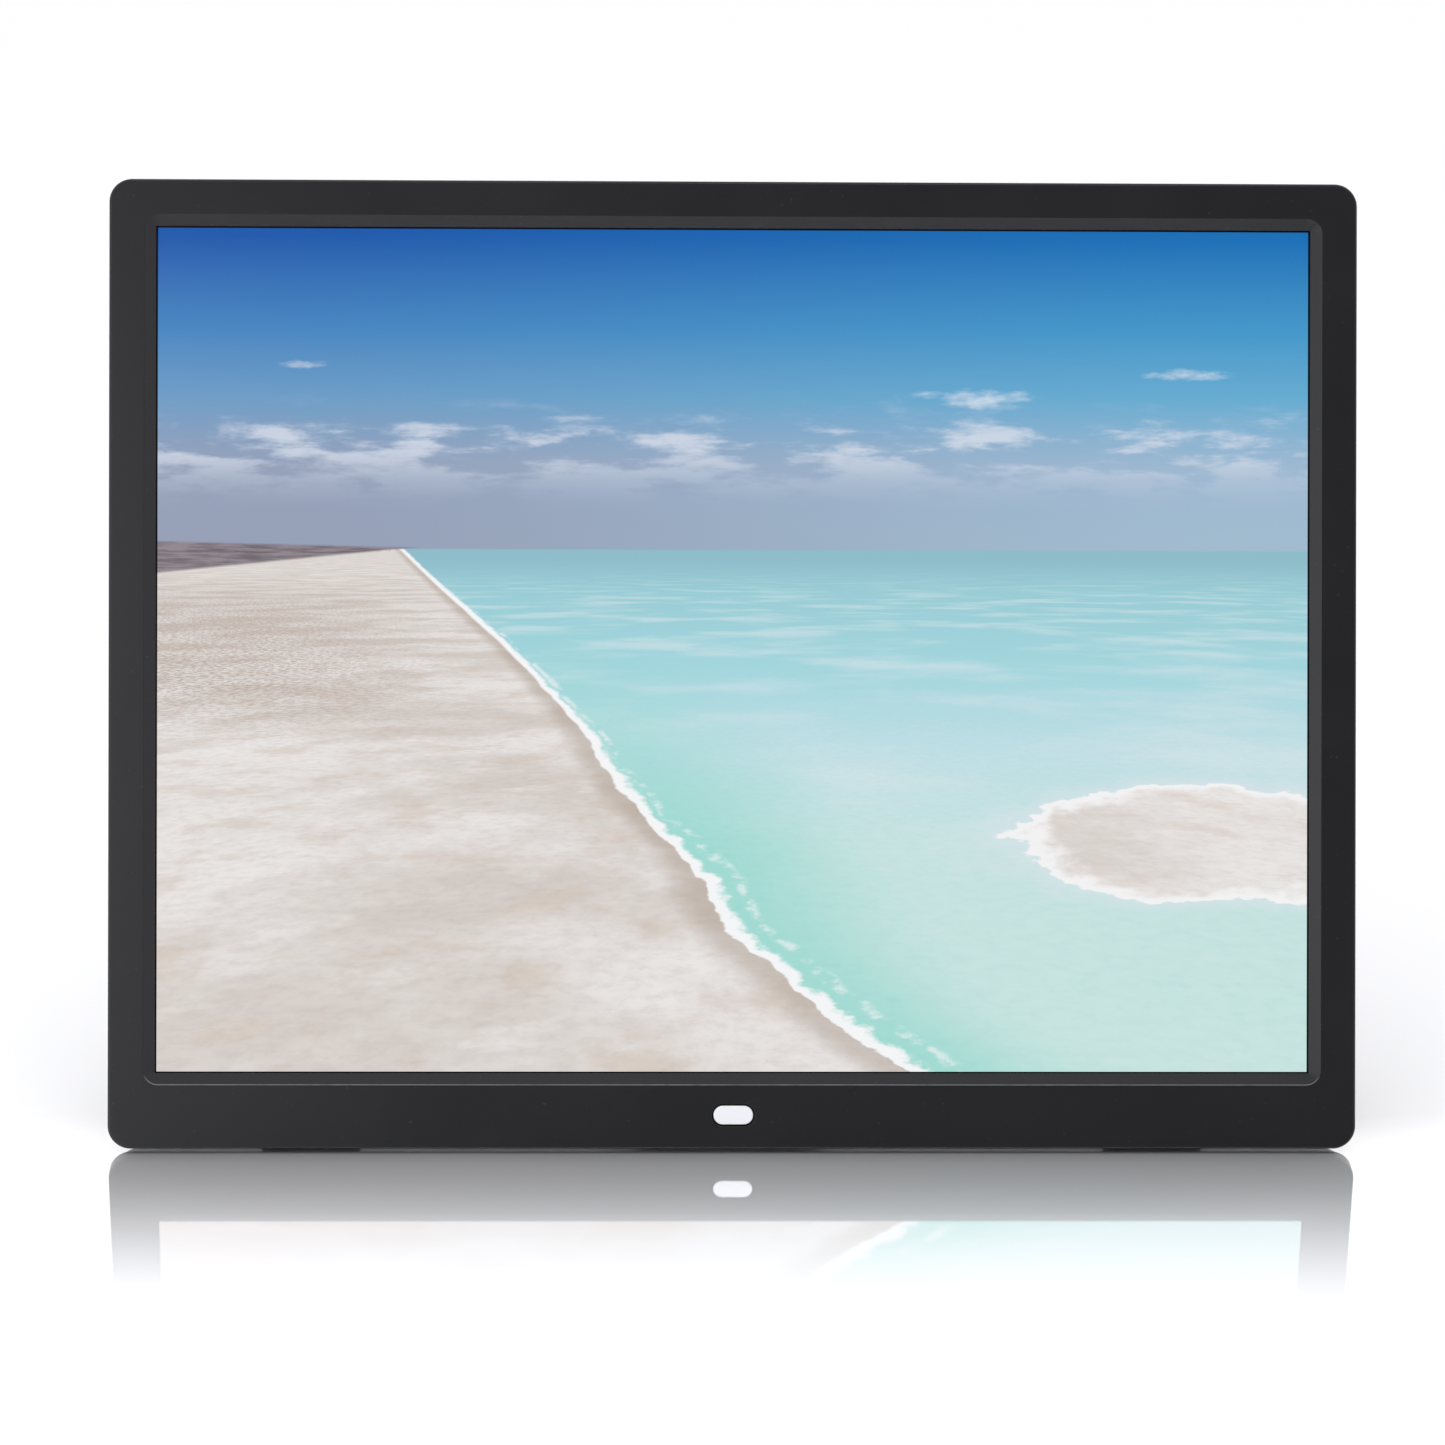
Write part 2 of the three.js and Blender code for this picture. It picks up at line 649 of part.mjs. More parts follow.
function buildLeg() {
  const half = legThickness / 2;
  const lower = -legReach + legPadThickness + gap;
  const plate = [
    new THREE.Vector2(legTopWidth / 2, 0),
    new THREE.Vector2(-legTopWidth / 2, 0),
    new THREE.Vector2(-legFootWidth / 2 - 0.6, lower + 6),
    new THREE.Vector2(-legFootWidth / 2, lower + 2),
    new THREE.Vector2(-legFootWidth / 2 + 2, lower),
    new THREE.Vector2(legFootWidth / 2 - 2, lower),
    new THREE.Vector2(legFootWidth / 2, lower + 2),
    new THREE.Vector2(legFootWidth / 2 + 0.6, lower + 6),
  ];
  add('stand_leg', shape(
    slab(plate, -half, half, 0.5),
    [barX(legBarrelRadius, 0, 0, -legTopWidth / 2, legTopWidth / 2),
      block(-22, 22, -1.4, 1.4, 0, legHeelLength)],
    [barX(boreRadius, 0, 0, -legTopWidth, legTopWidth, 16),
      slab(centredOutline(0, lower / 2, 38, 100, 8), half - 1.2, half + 1)],
  ), housingBlack, leg);
  add('stand_foot_pad', barProfile([
    [-half, -legReach + legPadThickness],
    [-half, -legReach + half * Math.tan(footTurn)],
    [half, -legReach - half * Math.tan(footTurn)],
    [half, -legReach + legPadThickness],
  ], -legFootWidth / 2 + 3, legFootWidth / 2 - 3), rubberBlack, leg);
  const pinEnd = pocketHalfWidth + cheekWidth - 2;
  add('stand_hinge_pin', barX(pinRadius, legPivotY, legPivotZ, -pinEnd, pinEnd, 16), screwSteel);
}

// ---------------------------------------------------------------- feet and cover screws
function buildBaseFeet() {
  const slope = (rimBackInset - rimFrontInset) / (rimBack - bezelDepth - gap);
  const coverZ = (y) => rimFrontInset + slope * (y - bezelDepth - gap);
  const tableZ = (y) => (tableLevel + y * Math.sin(leanAngle)) / Math.cos(leanAngle);
  const section = [
    [baseFootFront, coverZ(baseFootFront) - gap],
    [baseFootFront, tableZ(baseFootFront)],
    [baseFootBack, tableZ(baseFootBack)],
    [baseFootBack, coverZ(baseFootBack) - gap],
  ];
  for (const [name, x] of [['base_foot_left', -baseFootX], ['base_foot_right', baseFootX]]) {
    add(name, barProfile(section, x - baseFootLength / 2, x + baseFootLength / 2), rubberBlack);
  }
}

function buildCoverScrews() {
  coverScrewPlaces().forEach(([x, z], order) => {
    add(`cover_screw_${order + 1}`,
      screw(x, z, rimBack - 1.2 + gap, coverHeadRadius, 0.9, coverShankRadius, 5), screwSteel);
  });
}

// ---------------------------------------------------------------- assembly
add('front_bezel', buildFrontBezel(), housingBlack);
add('rear_cover', buildRearCover(), housingBlack);
buildIndicator();
buildScreenModule();
buildBoards();
buildTimingBoard();
sockets.forEach(buildSocket);
buildPowerSwitch();
buildSpeakers();
buildKeys();
buildLeg();
buildBaseFeet();
buildCoverScrews();

// The origin is set at the centre of the bounding box's underside.
const photoFrame = new THREE.Group();
photoFrame.add(housing);
const box = new THREE.Box3().setFromObject(housing, true);
const centre = box.getCenter(new THREE.Vector3());
housing.position.set(-centre.x, -centre.y, -box.min.z);

export default photoFrame;
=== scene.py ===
"""Digital photo frame: the looks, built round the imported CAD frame.

The housing leans back, so its pieces are made upright first, in millimetres: x across,
y from the front face into the depth, z up from the lower edge. A Stance turns that into the
row frame, in metres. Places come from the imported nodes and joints.
"""

import json
import math

import bmesh
import bpy
from mathutils import Matrix, Vector


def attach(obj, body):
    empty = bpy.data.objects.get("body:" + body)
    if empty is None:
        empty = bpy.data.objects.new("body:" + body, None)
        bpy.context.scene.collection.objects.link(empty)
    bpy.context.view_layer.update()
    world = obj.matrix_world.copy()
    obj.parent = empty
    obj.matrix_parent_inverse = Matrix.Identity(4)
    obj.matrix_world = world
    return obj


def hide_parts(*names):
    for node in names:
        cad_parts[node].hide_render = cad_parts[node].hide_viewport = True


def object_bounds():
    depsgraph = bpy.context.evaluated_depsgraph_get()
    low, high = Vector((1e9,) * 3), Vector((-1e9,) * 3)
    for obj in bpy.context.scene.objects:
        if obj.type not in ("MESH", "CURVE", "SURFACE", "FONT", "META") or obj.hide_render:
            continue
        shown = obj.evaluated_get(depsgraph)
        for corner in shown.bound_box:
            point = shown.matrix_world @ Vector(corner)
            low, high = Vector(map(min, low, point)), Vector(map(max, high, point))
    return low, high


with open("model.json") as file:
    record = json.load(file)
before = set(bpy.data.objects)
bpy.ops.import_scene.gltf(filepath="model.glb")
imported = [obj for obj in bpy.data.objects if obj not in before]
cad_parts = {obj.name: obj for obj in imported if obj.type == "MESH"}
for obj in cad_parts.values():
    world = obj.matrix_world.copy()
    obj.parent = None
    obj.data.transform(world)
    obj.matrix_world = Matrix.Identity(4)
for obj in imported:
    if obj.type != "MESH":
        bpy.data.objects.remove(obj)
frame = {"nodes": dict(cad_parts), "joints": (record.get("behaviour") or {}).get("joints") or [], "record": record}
cad_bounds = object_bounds()

MM = 0.001
JOINTS = {joint["name"]: joint for joint in frame["joints"]}
SLOTS = {row["node"]: row["material_slot"] for row in frame["record"]["subparts"]}


# --- where things are
class Stance:
    """An upright frame in millimetres, given by its depth and up directions in the row frame."""

    def __init__(self, back, up, origin):
        self.back = Vector(back).normalized()
        self.up = Vector(up).normalized()
        self.across = self.back.cross(self.up)
        self.origin = Vector(origin)

    def place(self, point):
        x, y, z = point
        return self.origin + (self.across * x + self.back * y + self.up * z) * MM

    def box(self, node):
        """Lowest and highest corner of a CAD node along this frame's axes, in millimetres."""
        offsets = [vertex.co - self.origin for vertex in frame["nodes"][node].data.vertices]
        axes = (self.across, self.back, self.up)
        reaches = [[offset.dot(axis) / MM for offset in offsets] for axis in axes]
        return Vector([min(reach) for reach in reaches]), Vector([max(reach) for reach in reaches])


def housing_stance():
    up = JOINTS["power_switch_slide"]["axis"]
    back = [-part for part in JOINTS["menu_key_press"]["axis"]]
    rough = Stance(back, up, (0, 0, 0))
    low, _ = rough.box("front_bezel")
    return Stance(back, up, rough.place((0, low.y, low.z)))


def leg_stance():
    """The leg's own frame: it hangs down its -z from the pivot, at the open rest pose."""
    joint = JOINTS["stand_hinge"]
    turn = Matrix.Rotation(math.radians(-joint["range_deg"][0]), 3, Vector(joint["axis"]))
    return Stance(turn @ HOUSING.back, turn @ HOUSING.up, joint["pos_m"])


HOUSING = housing_stance()
LEG = leg_stance()
BEZEL_LOW, BEZEL_HIGH = HOUSING.box("front_bezel")
PIVOT = (LEG.origin - HOUSING.origin) / MM
PIVOT_Y = PIVOT.dot(HOUSING.back)
PIVOT_Z = PIVOT.dot(HOUSING.up)

# --- driving sizes, as in the CAD
WIDTH = BEZEL_HIGH.x - BEZEL_LOW.x
HEIGHT = BEZEL_HIGH.z - BEZEL_LOW.z
CORNER_RADIUS = 6.0
WALL = 2.0
GAP = 0.3

SIDE_BORDER = 9.3
BOTTOM_BORDER = 16.9
SLOPE_WIDTH = 2.9
SLOPE_DEPTH = 2.1
SLOPE_RADIUS = 4.0
OPENING_RADIUS = 0.3
FACE_THICKNESS = 2.6
BEZEL_DEPTH = 5.0
PICTURE_MARGIN = 0.3

RIM_FRONT = BEZEL_DEPTH + GAP
RIM_BACK = 11.5
RIM_FRONT_INSET = 0.4
RIM_BACK_INSET = 2.2
BOX_HALF_WIDTH = 130.0
BOX_BOTTOM = 14.0
BOX_TOP = 222.0
BOX_RADIUS = 16.0
BOX_BACK = HOUSING.box("rear_cover")[1].y

POCKET_HALF_WIDTH = 36.0
POCKET_FLOOR = 18.5
POCKET_TOP = PIVOT_Z + 7
CHEEK_WIDTH = 7.0
CHEEK_HEIGHT = 14.0
BORE_RADIUS = 1.5

LEG_HALF_THICKNESS = 2.0
LEG_TOP_WIDTH = 66.0
LEG_FOOT_WIDTH = 54.0
LEG_BARREL_RADIUS = 2.9
LEG_HEEL_WIDTH = 44.0
LEG_HEEL_LENGTH = 5.7
LEG_RECESS_WIDTH = 38.0
LEG_RECESS_LENGTH = 100.0

WINDOW_WIDTH = 10.5
WINDOW_HEIGHT = 5.0
WINDOW_CLEARANCE = 0.42

HANG_X = 75.0
HANG_Z = 186.0
HANG_ENTRY_RADIUS = 4.3
HANG_SLOT_HALF_WIDTH = 2.2
HANG_SLOT_RISE = 9.0

KEY_NAMES = ("exit", "left", "up", "enter", "down", "right", "menu")
KEY_WIDTH = 12.0
KEY_HEIGHT = 6.6
KEY_RADIUS = 1.6
KEY_HOLE_MARGIN = 0.8
ARROW_TURNS = {"left": 0, "right": 180, "up": 90, "down": 270}
SOCKET_NAMES = ("dc_jack", "earphone_jack", "usb_socket", "mini_usb_socket", "card_socket")
SOCKET_BACK = 2.0

SLOT_ROWS = ((-114, -78, 28), (78, 114, 28), (-118, -96, 168), (96, 118, 168))
SLOT_PITCH = 4.5
SLOT_HEIGHT = 2.0
SLOTS_PER_ROW = 5

COVER_SCREWS = tuple(f"cover_screw_{number}" for number in range(1, 7))
BOARD_SCREWS = tuple(f"board_screw_{number}" for number in range(1, 7))
COVER_SCREW_HEAD = 0.9
BOARD_SCREW_HEAD = 1.4
BOSS_RADIUS = 2.1
PILOT_RADIUS = 1.15
SCREW_SEAT_DEPTH = 1.2
SCREW_SEAT_RADIUS = 2.2

MERGE_DISTANCE = 1e-7
WELD_DISTANCE = 1e-6
SMOOTH_ANGLE = 35


# --- outlines, as (x, z) pairs
def arc(x, z, radius, start, end, steps):
    """Points from one angle to another, both included."""
    angles = [start + (end - start) * step / steps for step in range(steps + 1)]
    return [(x + radius * math.cos(angle), z + radius * math.sin(angle)) for angle in angles]


def quarter_arc(x, z, radius, quarter, steps):
    return arc(x, z, radius, quarter * math.pi / 2, (quarter + 1) * math.pi / 2, steps)


def circle(x, z, radius, sides=28):
    return arc(x, z, radius, 0, math.tau, sides)[:-1]


def outline(x0, x1, z0, z1, radius, steps=14):
    """Counter-clockwise rounded rectangle."""
    radius = max(radius, 0.02)
    left, right, low, high = x0 + radius, x1 - radius, z0 + radius, z1 - radius
    points = []
    for quarter, (x, z) in enumerate(((right, high), (left, high), (left, low), (right, low))):
        points += quarter_arc(x, z, radius, quarter, steps)
    return points


def around(x, z, width, height, radius, steps=14):
    return outline(x - width / 2, x + width / 2, z - height / 2, z + height / 2, radius, steps)


def middle_of(node):
    low, high = HOUSING.box(node)
    return (low.x + high.x) / 2, (low.z + high.z) / 2


# --- shapes, as functions of how much their outline is grown
def growing(x0, x1, z0, z1, radius, steps, swell=0):
    """Rounded rectangle. With swell 1, the corner radius grows too."""
    return lambda grow: outline(x0 - grow, x1 + grow, z0 - grow, z1 + grow, radius + swell * grow, steps)


def growing_around(x, z, width, height, radius, steps, swell=0):
    return growing(x - width / 2, x + width / 2, z - height / 2, z + height / 2, radius, steps, swell)


def growing_face(low, high, margin, radius, steps):
    """Rounded (y, z) rectangle of a box seen from the side, with a margin round it."""
    return growing(low.y - margin, high.y + margin, low.z - margin, high.z + margin, radius, steps)


def growing_circle(x, z, radius, sides=28):
    return lambda grow: circle(x, z, radius + grow, sides)


# --- rings of a loft
def ring(points, depth):
    """(x, z) pairs as a ring at a depth."""
    return [(x, depth, z) for x, z in points]


def side_ring(points, across):
    """(y, z) pairs as a ring in a plane across X."""
    return [(across, y, z) for y, z in points]


def fillet(radius, count=5):
    """(inset, drop) pairs of a quarter round, from the wall to the face."""
    return [(radius - x, radius - z) for x, z in quarter_arc(0, 0, radius, 0, count)]


def soft_slab(shape, start, end, soft, steps=4, plane=ring):
    """Rings of a slab with rounded edges."""
    rings = [plane(shape(-inset), start + drop) for inset, drop in reversed(fillet(soft, steps))]
    return rings + [plane(shape(-inset), end - drop) for inset, drop in fillet(soft, steps)]


def flared(shape, floor, face, flare, steps=4, plane=ring):
    """Cutter rings for a hole from its floor to a face, with a rounded lip at the face."""
    way = 1 if face > floor else -1
    lip = [plane(shape(inset), face - way * drop) for inset, drop in fillet(flare, steps)]
    return [plane(shape(0), floor), *lip, plane(shape(flare), face + way)]


def turned(x, z, profile, plane=ring, sides=28):
    """Rings of a round piece, from (radius, place along its axis) pairs."""
    return [plane(circle(x, z, radius, sides), place) for radius, place in profile]


def block(x0, x1, y0, y1, z0, z1):
    square = ((x1, z1), (x0, z1), (x0, z0), (x1, z0))
    return [ring(square, y0), ring(square, y1)]


# --- meshes
def skin(lofts, loop):
    """Vertices and faces of closed bodies. In a loop the last ring meets the first."""
    points, faces = [], []
    for rings in lofts:
        start = len(points)
        count = len(rings[0])
        for one in rings:
            points.extend(one)
        for level in range(len(rings) if loop else len(rings) - 1):
            low = start + level * count
            high = start + (level + 1) % len(rings) * count
            for here in range(count):
                there = (here + 1) % count
                faces.append((low + here, high + here, high + there, low + there))
        if not loop:
            end = start + (len(rings) - 1) * count
            faces.append([start + here for here in range(count)])
            faces.append([end + here for here in reversed(range(count))])
    return points, faces


def edit(mesh, change):
    """Runs a change on a mesh through bmesh."""
    work = bmesh.new()
    work.from_mesh(mesh)
    change(work)
    work.to_mesh(mesh)
    work.free()


def clean(work):
    bmesh.ops.remove_doubles(work, verts=work.verts, dist=MERGE_DISTANCE)
    bmesh.ops.dissolve_degenerate(work, edges=work.edges, dist=MERGE_DISTANCE)
    bmesh.ops.recalc_face_normals(work, faces=work.faces)


def split_large(work):
    bmesh.ops.triangulate(work, faces=[face for face in work.faces if len(face.verts) > 4])


def shade(mesh, smooth_angle):
    for polygon in mesh.polygons:
        polygon.use_smooth = True
    mesh.set_sharp_from_angle(angle=math.radians(smooth_angle))


def add_object(name, data):
    thing = bpy.data.objects.new(name, data)
    bpy.context.scene.collection.objects.link(thing)
    return thing


def build(name, *lofts, stance=HOUSING, smooth_angle=SMOOTH_ANGLE, loop=False):
    points, faces = skin(lofts, loop)
    mesh = bpy.data.meshes.new(name)
    mesh.from_pydata([stance.place(point) for point in points], [], faces)
    edit(mesh, clean)
    shade(mesh, smooth_angle)
    return add_object(name, mesh)


def combine(piece, operation, lofts, stance):
    """Joins or cuts lofts into a piece and keeps only the resulting mesh."""
    tool = build("tool", *lofts, stance=stance)
    modifier = piece.modifiers.new(operation, "BOOLEAN")
    modifier.operation = operation
    modifier.solver = "MANIFOLD"
    modifier.object = tool
    graph = bpy.context.evaluated_depsgraph_get()
    piece.data = bpy.data.meshes.new_from_object(piece.evaluated_get(graph))
    piece.modifiers.clear()
    edit(piece.data, split_large)
    shade(piece.data, SMOOTH_ANGLE)
    bpy.data.objects.remove(tool)


def join(piece, *lofts, stance=HOUSING):
    combine(piece, "UNION", lofts, stance)


def cut(piece, *lofts, stance=HOUSING):
    combine(piece, "DIFFERENCE", lofts, stance)


def score(piece, across, up, stance=HOUSING):
    """Splits the faces along planes, so that no single face surrounds many holes."""
    def slice_up(work):
        for axis, places in ((stance.across, across), (stance.up, up)):
            for place in places:
                everything = work.verts[:] + work.edges[:] + work.faces[:]
                point = stance.origin + axis * place * MM
                bmesh.ops.bisect_plane(work, geom=everything, plane_co=point, plane_no=axis)

    edit(piece.data, slice_up)


def soften(piece, width):
    bevel = piece.modifiers.new("soft_edges", "BEVEL")
    bevel.width = width * MM
    bevel.segments = 2
    bevel.limit_method = "ANGLE"
    bevel.angle_limit = math.radians(40)


def keep_flats(piece):
    """Lets the large flat faces set the normals, so that they shade flat beside a round."""
    piece.modifiers.new("flat_shading", "WEIGHTED_NORMAL").keep_sharp = True


def paint(piece, finish):
    piece.data.materials.clear()
    piece.data.materials.append(FINISHES[finish])


def settle(piece, slot, *nodes, body="housing", finish=None):
    """Gives a piece its material, its body and, when it stands for CAD nodes, their place."""
    keep_flats(piece)
    paint(piece, finish or slot)
    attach(piece, body)
    if nodes:
        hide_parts(*nodes)


# --- shader nodes
def add_node(tree, kind, inputs, **settings):
    """Adds a node. inputs gives Fields, sockets or plain values, by input name or number."""
    node = tree.nodes.new("ShaderNode" + kind)
    for name, value in settings.items():
        setattr(node, name, value)
    for key, value in inputs.items():
        feed(tree, node.inputs[key], value)
    return node


def feed(tree, target, value):
    source = value.socket if isinstance(value, Field) else value
    if isinstance(source, bpy.types.NodeSocket):
        tree.links.new(source, target)
    else:
        target.default_value = source


def operator(operation):
    return lambda field, *others: field.math(operation, *others)


class Field:
    """A value at each point of a surface. Arithmetic on it adds Math nodes."""

    def __init__(self, tree, socket):
        self.tree = tree
        self.socket = socket

    def math(self, operation, *others):
        inputs = dict(enumerate((self, *others)))
        return Field(self.tree, add_node(self.tree, "Math", inputs, operation=operation).outputs[0])

    __add__ = operator("ADD")
    __sub__ = operator("SUBTRACT")
    __mul__ = operator("MULTIPLY")
    __truediv__ = operator("DIVIDE")
    __pow__ = operator("POWER")
    lower = operator("MINIMUM")
    higher = operator("MAXIMUM")
    size = operator("ABSOLUTE")
    fraction = operator("FRACT")
    sine = operator("SINE")

    def step(self, low, high, to_low=0.0, to_high=1.0):
        """Smooth change from to_low to to_high as the value goes from low to high."""
        inputs = {"Value": self, "From Min": low, "From Max": high, "To Min": to_low, "To Max": to_high}
        node = add_node(self.tree, "MapRange", inputs, interpolation_type="SMOOTHSTEP")
        return Field(self.tree, node.outputs[0])


class Nodes:
    """Helpers that add nodes to one tree."""

    def __init__(self, tree):
        self.tree = tree

    def coordinates(self, kind="Object"):
        return add_node(self.tree, "TexCoord", {}).outputs[kind]

    def along(self, axis, origin=HOUSING.origin, unit=MM, of=None):
        """Distance from origin along an axis, in units of unit."""
        offset = add_node(self.tree, "VectorMath", {0: of or self.coordinates(), 1: origin},
                          operation="SUBTRACT")
        inputs = {0: offset.outputs[0], 1: Vector(axis) / unit}
        product = add_node(self.tree, "VectorMath", inputs, operation="DOT_PRODUCT")
        return Field(self.tree, product.outputs["Value"])

    def join(self, x, y, z=0.0):
        return add_node(self.tree, "CombineXYZ", {0: x, 1: y, 2: z}).outputs[0]

    def noise(self, scale, detail=4.0, roughness=0.5, at=None):
        inputs = {"Vector": at or self.coordinates(), "Scale": scale, "Detail": detail}
        inputs["Roughness"] = roughness
        return Field(self.tree, add_node(self.tree, "TexNoise", inputs).outputs["Fac"])

    def mix(self, factor, first, second):
        """Colour that goes from first to second as factor goes from 0 to 1."""
        return add_node(self.tree, "Mix", {0: factor, 6: first, 7: second}, data_type="RGBA").outputs[2]

    def ramp(self, factor, stops):
        """Colour ramp through (place, colour) stops."""
        node = add_node(self.tree, "ValToRGB", {0: factor})
        elements = node.color_ramp.elements
        while len(elements) < len(stops):
            elements.new(0.5)
        for element, (place, colour) in zip(elements, stops):
            element.position = place
            element.color = colour
        return node.outputs[0]


class Shader(Nodes):
    """One Principled material. plain holds the sockets that are the same all over."""

    def __init__(self, name, plain=None):
        self.material = bpy.data.materials.new(name)
        self.material.use_nodes = True
        super().__init__(self.material.node_tree)
        self.main = self.tree.nodes["Principled BSDF"]
        for key, value in (plain or {}).items():
            self.drive(key, value)

    def drive(self, name, source):
        feed(self.tree, self.main.inputs[name], source)

    def finished(self, colour, roughness, height, distance, strength):
        """Connects the colour, the roughness if it varies, and a bump. Gives the material."""
        self.drive("Base Color", colour)
        if roughness:
            self.drive("Roughness", roughness)
        inputs = {"Height": height, "Distance": distance, "Strength": strength}
        self.drive("Normal", add_node(self.tree, "Bump", inputs).outputs[0])
        return self.material


def linear(*channels):
    """sRGB channels from 0 to 255 as the linear colour that shaders use, with alpha."""
    parts = [c / 255 for c in channels]
    return (*(p / 12.92 if p <= 0.04045 else ((p + 0.055) / 1.055) ** 2.4 for p in parts), 1.0)


# --- materials
def painted_crease_highlight(shader):
    """1 along the lower crease between the face and the slope, as a fine broken line: a painted highlight where
    the light from above catches the crease.
    """
    x = shader.along(HOUSING.across)
    depth = shader.along(HOUSING.back)
    z = shader.along(HOUSING.up)
    beside = (x.size() - (WIDTH / 2 - SIDE_BORDER - SLOPE_RADIUS)).higher(0.0)
    below = (z * -1.0 + (BOTTOM_BORDER + SLOPE_RADIUS)).higher(0.0)
    off_line = ((beside ** 2.0 + below ** 2.0) ** 0.5 - SLOPE_RADIUS).size()
    line = off_line.step(0.04, 0.18, 1.0, 0.0) * below.step(1.0, 3.0) * depth.step(0.3, 0.5, 1.0, 0.0)
    return line * shader.noise(240, 3, 0.6).step(0.25, 0.6, 0.55, 1.0)


def housing_plastic():
    """Black ABS with a fine spark-eroded texture, faint mottling and a painted highlight along the lower crease.
    """
    shader = Shader("housing_plastic", {"IOR": 1.42})
    grain = shader.noise(2600, 2, 0.6)
    mottle = shader.noise(38, 4, 0.55)
    speck = shader.noise(1100, 1, 0.4).step(0.76, 0.80)
    tone = shader.mix(mottle, linear(15, 15, 19), linear(20, 19, 25))
    tone = shader.mix(speck * 0.12, tone, linear(110, 110, 112))
    # painted highlight: the lower crease is lightened as if it catches the light from above
    tone = shader.mix(painted_crease_highlight(shader), tone, linear(106, 106, 110))
    return shader.finished(tone, mottle * 0.08 + grain * 0.10 + 0.27, grain + mottle * 0.3, 0.00003, 0.3)


def plastic(name, dark, light, roughness, bump=0.2, scale=1200):
    shader = Shader(name)
    grain = shader.noise(scale, 3, 0.55)
    tone = shader.mix(shader.noise(60, 3, 0.5), linear(*dark), linear(*light))
    return shader.finished(tone, grain * 0.12 + (roughness - 0.06), grain, 0.00002, bump)


def metal(name, dark, light, roughness, stretch=(1, 1, 1)):
    """Metal with a fine brushed or drawn grain, stretched along an axis."""
    shader = Shader(name, {"Metallic": 1.0})
    mapping = add_node(shader.tree, "Mapping", {"Vector": shader.coordinates(), "Scale": stretch})
    brush = shader.noise(700, 3, 0.6, at=mapping.outputs[0])
    cloud = shader.noise(50, 3, 0.5)
    tone = shader.mix(brush * 0.6 + cloud * 0.4, linear(*dark), linear(*light))
    return shader.finished(tone, brush * 0.16 + cloud * 0.08 + (roughness - 0.12), brush, 0.00001, 0.15)


def circuit_board():
    """Green solder mask over copper tracks that run across or up, patch by patch."""
    shader = Shader("circuit_board", {"Coat Weight": 0.25, "Coat Roughness": 0.2})
    x = shader.along(HOUSING.across)
    z = shader.along(HOUSING.up)
    jog = shader.noise(90, 2, 0.5)
    patch = shader.noise(45, 1, 0.5).step(0.48, 0.52)
    lane = ((z + jog.step(0.45, 0.55) * 3.0) / 1.4).fraction().step(0.42, 0.5)
    row = ((x + jog.step(0.5, 0.6) * 2.0) / 1.8).fraction().step(0.42, 0.5)
    tracks = lane * patch + row * (patch * -1.0 + 1.0)
    tone = shader.mix(tracks, linear(16, 62, 38), linear(34, 98, 58))
    return shader.finished(tone, jog * 0.15 + 0.32, tracks, 0.00003, 0.3)


def ribbon_film():
    """Amber film over fine conductors that run along the cable."""
    shader = Shader("ribbon_film", {"Coat Weight": 0.4, "Coat Roughness": 0.15})
    wires = (shader.along(HOUSING.across) / 0.8).fraction().step(0.35, 0.5)
    tone = shader.mix(wires, linear(196, 150, 84), linear(158, 104, 48))
    return shader.finished(tone, shader.noise(120, 3, 0.5) * 0.1 + 0.3, wires, 0.00004, 0.4)


def window_plastic():
    """White lens whose sides are painted black from just under its front face: painted shade for the dark gap
    round the lens.
    """
    shader = Shader("window_plastic", {"Roughness": 0.3})
    cloud = shader.noise(420, 3, 0.5)
    front = shader.mix(cloud, linear(226, 228, 234), linear(233, 234, 238))
    # painted shade: the lens sides below its front face turn black, standing in for the shaded gap round it
    tone = shader.mix(shader.along(HOUSING.back).step(0.45, 0.55), front, linear(14, 14, 15))
    return shader.finished(tone, None, cloud, 0.00001, 0.1)


# --- displayed picture
HORIZON = 0.62
SKY_LEFT = (
    (0.62, linear(147, 156, 179)), (0.72, linear(146, 158, 183)), (0.80, linear(106, 154, 196)),
    (0.88, linear(67, 131, 191)), (0.99, linear(20, 86, 170)),
)
SKY_RIGHT = (
    (0.62, linear(160, 186, 206)), (0.72, linear(155, 183, 208)), (0.80, linear(101, 171, 208)),
    (0.88, linear(65, 150, 201)), (0.99, linear(15, 110, 182)),
)
SEA = (
    (0.04, linear(198, 227, 222)), (0.28, linear(198, 226, 224)), (0.38, linear(192, 222, 228)),
    (0.48, linear(163, 213, 221)), (0.57, linear(152, 203, 213)), (0.61, linear(140, 187, 200)),
)


def blob(u, v, middle_u, middle_v, half_u, half_v):
    """0 at the middle of an oval, 1 on its edge."""
    return ((u - middle_u) / half_u) ** 2.0 + ((v - middle_v) / half_v) ** 2.0


